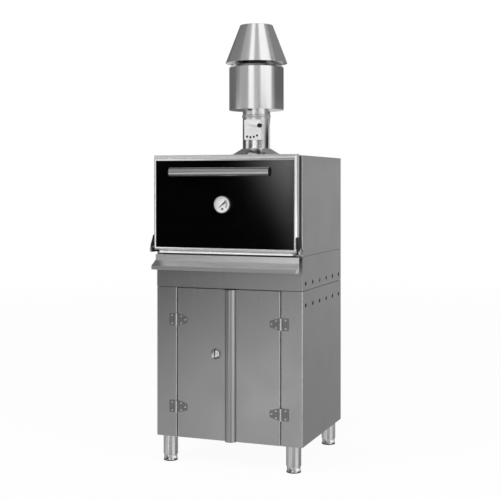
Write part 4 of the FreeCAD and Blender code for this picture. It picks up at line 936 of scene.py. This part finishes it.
CARD_RADIUS = 7.0
NECK_CARD_RADIUS = 6.9
LEVEL_CARD_RADIUS = 7.14
CARD_DEGREES = 2
CARD_ROWS = 4
CARD_GAP = 0.1
CARD_SEGMENTS, FLOOR_SEGMENTS = 48, 96
# Heights where cards begin and end, most of them named for what mirrors them there
FOOT = -7.0
DOOR_FOOT = -1.5
REAR_FOOT = -1.0
DOOR_MIDDLE = -0.8
APRON = 0.25
NECK_FOOT = 1.56
PANEL_TOP = 1.62
SIDE_TOP = 1.66
DRUM_FOOT = 1.8
NECK_MIDDLE = 1.88
REAR_TOP = 1.9
NECK_TOP = 1.99
DRUM_TOP = 3.2
HAT_MIDDLE = 10.0
HEAD = 13.0
# Soft light on the black panel: the azimuths of its cards, and how it grows
SHINE_LEFT, SHINE_RIGHT = -23.0, -15.15
SHINE_ROWS = 6
SHINE_COLUMNS = 8
SHINE_START = -21.1
SHINE_SLANT = 4.7
SHINE_GAIN = 0.24
SHINE_POWER = 1.6


def stage_object(name, form, material):
    """Object of the studio, which isn't part of the oven."""
    mesh = mesh_of(name, form)
    mesh.materials.append(material)
    made = bpy.data.objects.new(name, mesh)
    scene.collection.objects.link(made)
    return made


def card_glow():
    """Light of the studio cards, as strong as each card's own level."""
    material = bpy.data.materials.new("card_glow")
    material.use_nodes = True
    tree = material.node_tree
    tree.nodes.remove(tree.nodes["Principled BSDF"])
    level = add(tree, "ShaderNodeAttribute", attribute_name="level").outputs["Fac"]
    shine = add(tree, "ShaderNodeEmission", {"Color": grey(1.0), "Strength": level})
    feed(tree, tree.nodes["Material Output"].inputs["Surface"], shine.outputs[0])
    return material


CARD_GLOW = card_glow()


def mirrored_only(made):
    """Hide a card from everything but mirrored light."""
    made.visible_camera = False
    made.visible_diffuse = False
    made.visible_shadow = False


def card(name, turns, heights, foot, head=None, radius=CARD_RADIUS):
    """Curved upright card between two azimuths, in degrees to the right of the front, and two heights.

    Its levels at the foot and the head are one number, or one for each end.
    """
    head = foot if head is None else head
    foot_ends, head_ends = [ends if isinstance(ends, tuple) else (ends, ends) for ends in (foot, head)]
    form = bmesh.new()
    level = form.verts.layers.float.new("level")
    columns = max(2, int((turns[1] - turns[0]) / CARD_DEGREES))
    grid = []
    for column in range(columns + 1):
        share = column / columns
        turn = math.radians(turns[0] + (turns[1] - turns[0]) * share)
        low, high = [ends[0] + (ends[1] - ends[0]) * share for ends in (foot_ends, head_ends)]
        grid.append([])
        for row in range(CARD_ROWS + 1):
            climb = row / CARD_ROWS
            spot = form.verts.new((radius * math.sin(turn), -radius * math.cos(turn),
                                   heights[0] + (heights[1] - heights[0]) * climb))
            spot[level] = low + (high - low) * climb
            grid[-1].append(spot)
    for here, after in zip(grid, grid[1:]):
        for row in range(CARD_ROWS):
            form.faces.new((here[row], after[row], after[row + 1], here[row + 1]))
    mirrored_only(stage_object(name, form, CARD_GLOW))


def neck_ring(name, heights, levels):
    """Low ring of cards for the flue neck, from azimuths and the levels there."""
    for number, ((start, low), (end, high)) in enumerate(zip(levels, levels[1:])):
        card(f"{name}_{number}", (start, end), heights, (low, high), radius=NECK_CARD_RADIUS)


def panel_shine(turn, height):
    """Level of the soft light that the black panel mirrors: it grows to the right and upwards."""
    start = SHINE_START + SHINE_SLANT * (PANEL_TOP - height)
    return SHINE_GAIN * max(0.0, turn - start) ** SHINE_POWER


def shine_cards():
    """Rows of cards with the panel's soft light."""
    rows = [APRON + (PANEL_TOP - APRON) * step / SHINE_ROWS for step in range(SHINE_ROWS + 1)]
    columns = [SHINE_LEFT + (SHINE_RIGHT - SHINE_LEFT) * step / SHINE_COLUMNS for step in range(SHINE_COLUMNS + 1)]
    for row, (low, high) in enumerate(zip(rows, rows[1:])):
        for column, ends in enumerate(zip(columns, columns[1:])):
            foot, head = [tuple(panel_shine(turn, height) for turn in ends) for height in (low, high)]
            card(f"card_shine_{row}_{column}", ends, (low, high), foot, head)


def level_card(name, height, brightness, centre=(0.0, 0.0), radius=LEVEL_CARD_RADIUS):
    """Round level card over or under the oven."""
    form = bmesh.new()
    level = form.verts.layers.float.new("level")
    bmesh.ops.create_circle(form, cap_ends=True, segments=CARD_SEGMENTS, radius=radius)
    for spot in form.verts:
        spot.co += Vector((*centre, height))
        spot[level] = brightness
    mirrored_only(stage_object(name, form, CARD_GLOW))


card("card_left_foot", (-65, -33), (FOOT, DOOR_FOOT), 0.9)
card("card_front_foot", (-33, 14), (FOOT, DOOR_FOOT), (0.6, 0.36))
card("card_far_low", (-65, -38), (DOOR_FOOT, APRON), 0.4, 0.3)
card("card_left_far", (-38, -28), (DOOR_FOOT, APRON), 0.68, 0.12)
card("card_left_base", (-28, -11), (DOOR_FOOT, DOOR_MIDDLE), (0.68, 4.0), (0.47, 1.45))
card("card_left_low", (-28, -11), (DOOR_MIDDLE, APRON), (0.47, 1.45), 0.11)
card("card_pull_front", (-11, 43), (DOOR_FOOT, APRON), 0.85, 0.47)
card("card_pull_rise", (43, 62), (DOOR_FOOT, APRON), (0.85, 0.4), (0.47, 2.2))
card("card_pull_shine", (62, 125), (DOOR_FOOT, APRON), 0.4, 2.2)
card("card_pull_edge", (125, 140), (DOOR_FOOT, APRON), 0.7, 0.3)
card("card_left", (-65, SHINE_LEFT), (APRON, PANEL_TOP), 0.0)
shine_cards()
card("card_frame_right", (SHINE_RIGHT, -13), (APRON, PANEL_TOP), 0.34)
card("card_left_high", (-55, -13), (PANEL_TOP, HAT_MIDDLE), 0.37)
card("card_left_top", (-55, -26), (HAT_MIDDLE, HEAD), 0.6)
card("card_far_front", (-72, -55), (PANEL_TOP, HEAD), 0.22)
card("card_front_low", (14, 43), (FOOT, DOOR_FOOT), 0.36)
card("card_front_mid", (14, 43), (APRON, PANEL_TOP), 0.36)
card("card_front", (10, 37), (PANEL_TOP, HEAD), 0.45)
card("card_right_foot", (92, 140), (FOOT, DOOR_FOOT), 0.3, 0.2)
card("card_right_low", (92, 140), (APRON, SIDE_TOP), 0.14, 0.12)
card("card_right_edge", (86, 101), (DRUM_FOOT, HEAD), (0.4, 0.18))
card("card_right", (101, 140), (DRUM_FOOT, DRUM_TOP), 0.09, 0.14)
card("card_right_high", (103, 140), (DRUM_TOP, HEAD), 0.22)
card("card_rear_foot", (140, 200), (FOOT, REAR_FOOT), 0.43)
card("card_rear_low", (140, 200), (REAR_FOOT, REAR_TOP), 0.43, 0.66)
card("card_rear", (140, 200), (REAR_TOP, DRUM_TOP), 0.1, 0.14)
card("card_rear_high", (140, 200), (DRUM_TOP, HEAD), 0.22)
card("card_rear_left", (200, 240), (FOOT, HEAD), 0.14)
card("card_far_left_low", (240, 295), (FOOT, APRON), 0.5)
card("card_far_left", (240, 288), (APRON, DRUM_TOP), 0.12, 0.15)
card("card_far_left_high", (240, 288), (DRUM_TOP, HEAD), 0.2)
neck_ring("card_neck_low", (NECK_FOOT, NECK_MIDDLE),
          ((-125, 0.05), (-86, 0.05), (-72, 0.9), (-54, 0.9), (-44, 0.12), (-15, 0.12), (-8, 1.0), (18, 1.0),
           (36, 0.05), (60, 0.05), (72, 0.4), (95, 0.35), (108, 0.01), (143, 0.01)))
neck_ring("card_neck_high", (NECK_MIDDLE, NECK_TOP),
          ((-125, 0.12), (-84, 0.12), (-60, 0.85), (-8, 0.85), (2, 0.13), (58, 0.13), (68, 0.9), (100, 0.9),
           (110, 0.5), (143, 0.4)))
level_card("card_over", HEAD, 0.12)
level_card("card_collar", HEAD - CARD_GAP, 0.9, centre=(-2.79, 4.19), radius=1.0)
level_card("card_under", FOOT, 0.15)


def seen_plainly(tree):
    """1 for rays that show the white studio: to the camera, mirrored or through glass."""
    path = add(tree, "ShaderNodeLightPath").outputs
    return calc(tree, "MAXIMUM", path["Is Camera Ray"],
                calc(tree, "MAXIMUM", path["Is Glossy Ray"], path["Is Transmission Ray"]))


def studio_world(fill):
    """White to the eye, with an even soft fill for the oven."""
    world = bpy.data.worlds.new("studio")
    scene.world = world
    world.use_nodes = True
    tree = world.node_tree
    white = add(tree, "ShaderNodeBackground", {"Color": grey(1.0), "Strength": 1.0})
    soft = add(tree, "ShaderNodeBackground", {"Color": grey(1.0), "Strength": fill})
    mix = add(tree, "ShaderNodeMixShader", {0: seen_plainly(tree), 1: soft.outputs[0], 2: white.outputs[0]})
    feed(tree, tree.nodes["World Output"].inputs["Surface"], mix.outputs[0])


FLOOR_REACH = 9.0
FLOOR_CLEAR = 5.0
FLOOR_GLOW = 0.95
FLOOR_DROP = 0.0005


def studio_floor():
    """White floor that keeps a faint shadow and fades into the background."""
    form = bmesh.new()
    bmesh.ops.create_circle(form, cap_ends=True, segments=FLOOR_SEGMENTS, radius=FLOOR_REACH)
    material = bpy.data.materials.new("studio_floor")
    material.use_nodes = True
    tree = material.node_tree
    shader = tree.nodes["Principled BSDF"]
    shader.inputs["Base Color"].default_value = grey(0.9)
    shader.inputs["Roughness"].default_value = 0.9
    shader.inputs["Specular IOR Level"].default_value = 0.0
    lit = add(tree, "ShaderNodeEmission", {"Color": grey(1.0), "Strength": 1.0})
    paper = add(tree, "ShaderNodeMixShader", {0: calc(tree, "MULTIPLY", seen_plainly(tree), FLOOR_GLOW),
                                              1: shader.outputs[0], 2: lit.outputs[0]})
    place = add(tree, "ShaderNodeTexCoord").outputs["Object"]
    away = add(tree, "ShaderNodeVectorMath", {0: place}, operation="LENGTH").outputs["Value"]
    fade = spread(tree, away, 0.0, 1.0, FLOOR_CLEAR, FLOOR_REACH)
    clear = add(tree, "ShaderNodeBsdfTransparent")
    mix = add(tree, "ShaderNodeMixShader", {0: fade, 1: paper.outputs[0], 2: clear.outputs[0]})
    feed(tree, tree.nodes["Material Output"].inputs["Surface"], mix.outputs[0])
    floor = stage_object("studio_floor", form, material)
    floor.location.z = -FLOOR_DROP
    floor.visible_glossy = False


def soft_box(name, place, aim, size, power):
    """Large soft lamp that the steel doesn't mirror."""
    lamp = bpy.data.lights.new(name, "AREA")
    lamp.shape = "DISK"
    lamp.size = size
    lamp.energy = power
    made = bpy.data.objects.new(name, lamp)
    made.location = place
    made.rotation_euler = (Vector(aim) - Vector(place)).to_track_quat("-Z", "Y").to_euler()
    made.visible_glossy = False
    scene.collection.objects.link(made)


def photo_camera():
    """Level camera at the photograph's angle."""
    camera = bpy.data.objects.new("photo_camera", bpy.data.cameras.new("photo_camera"))
    camera.data.sensor_width = 36.0
    camera.data.lens = 75.36
    camera.data.shift_y = -0.1329
    camera.location = (1.6743, -4.3899, 1.2149)
    camera.rotation_euler = (math.radians(90), 0, math.radians(20.73))
    scene.collection.objects.link(camera)
    scene.camera = camera


studio_world(fill=0.55)
studio_floor()
soft_box("key_box", place=(-2.2, -3.4, 3.6), aim=(0, 0, 0.9), size=2.6, power=110)
soft_box("side_box", place=(3.6, -1.2, 2.6), aim=(0, 0, 1.0), size=2.4, power=60)
photo_camera()
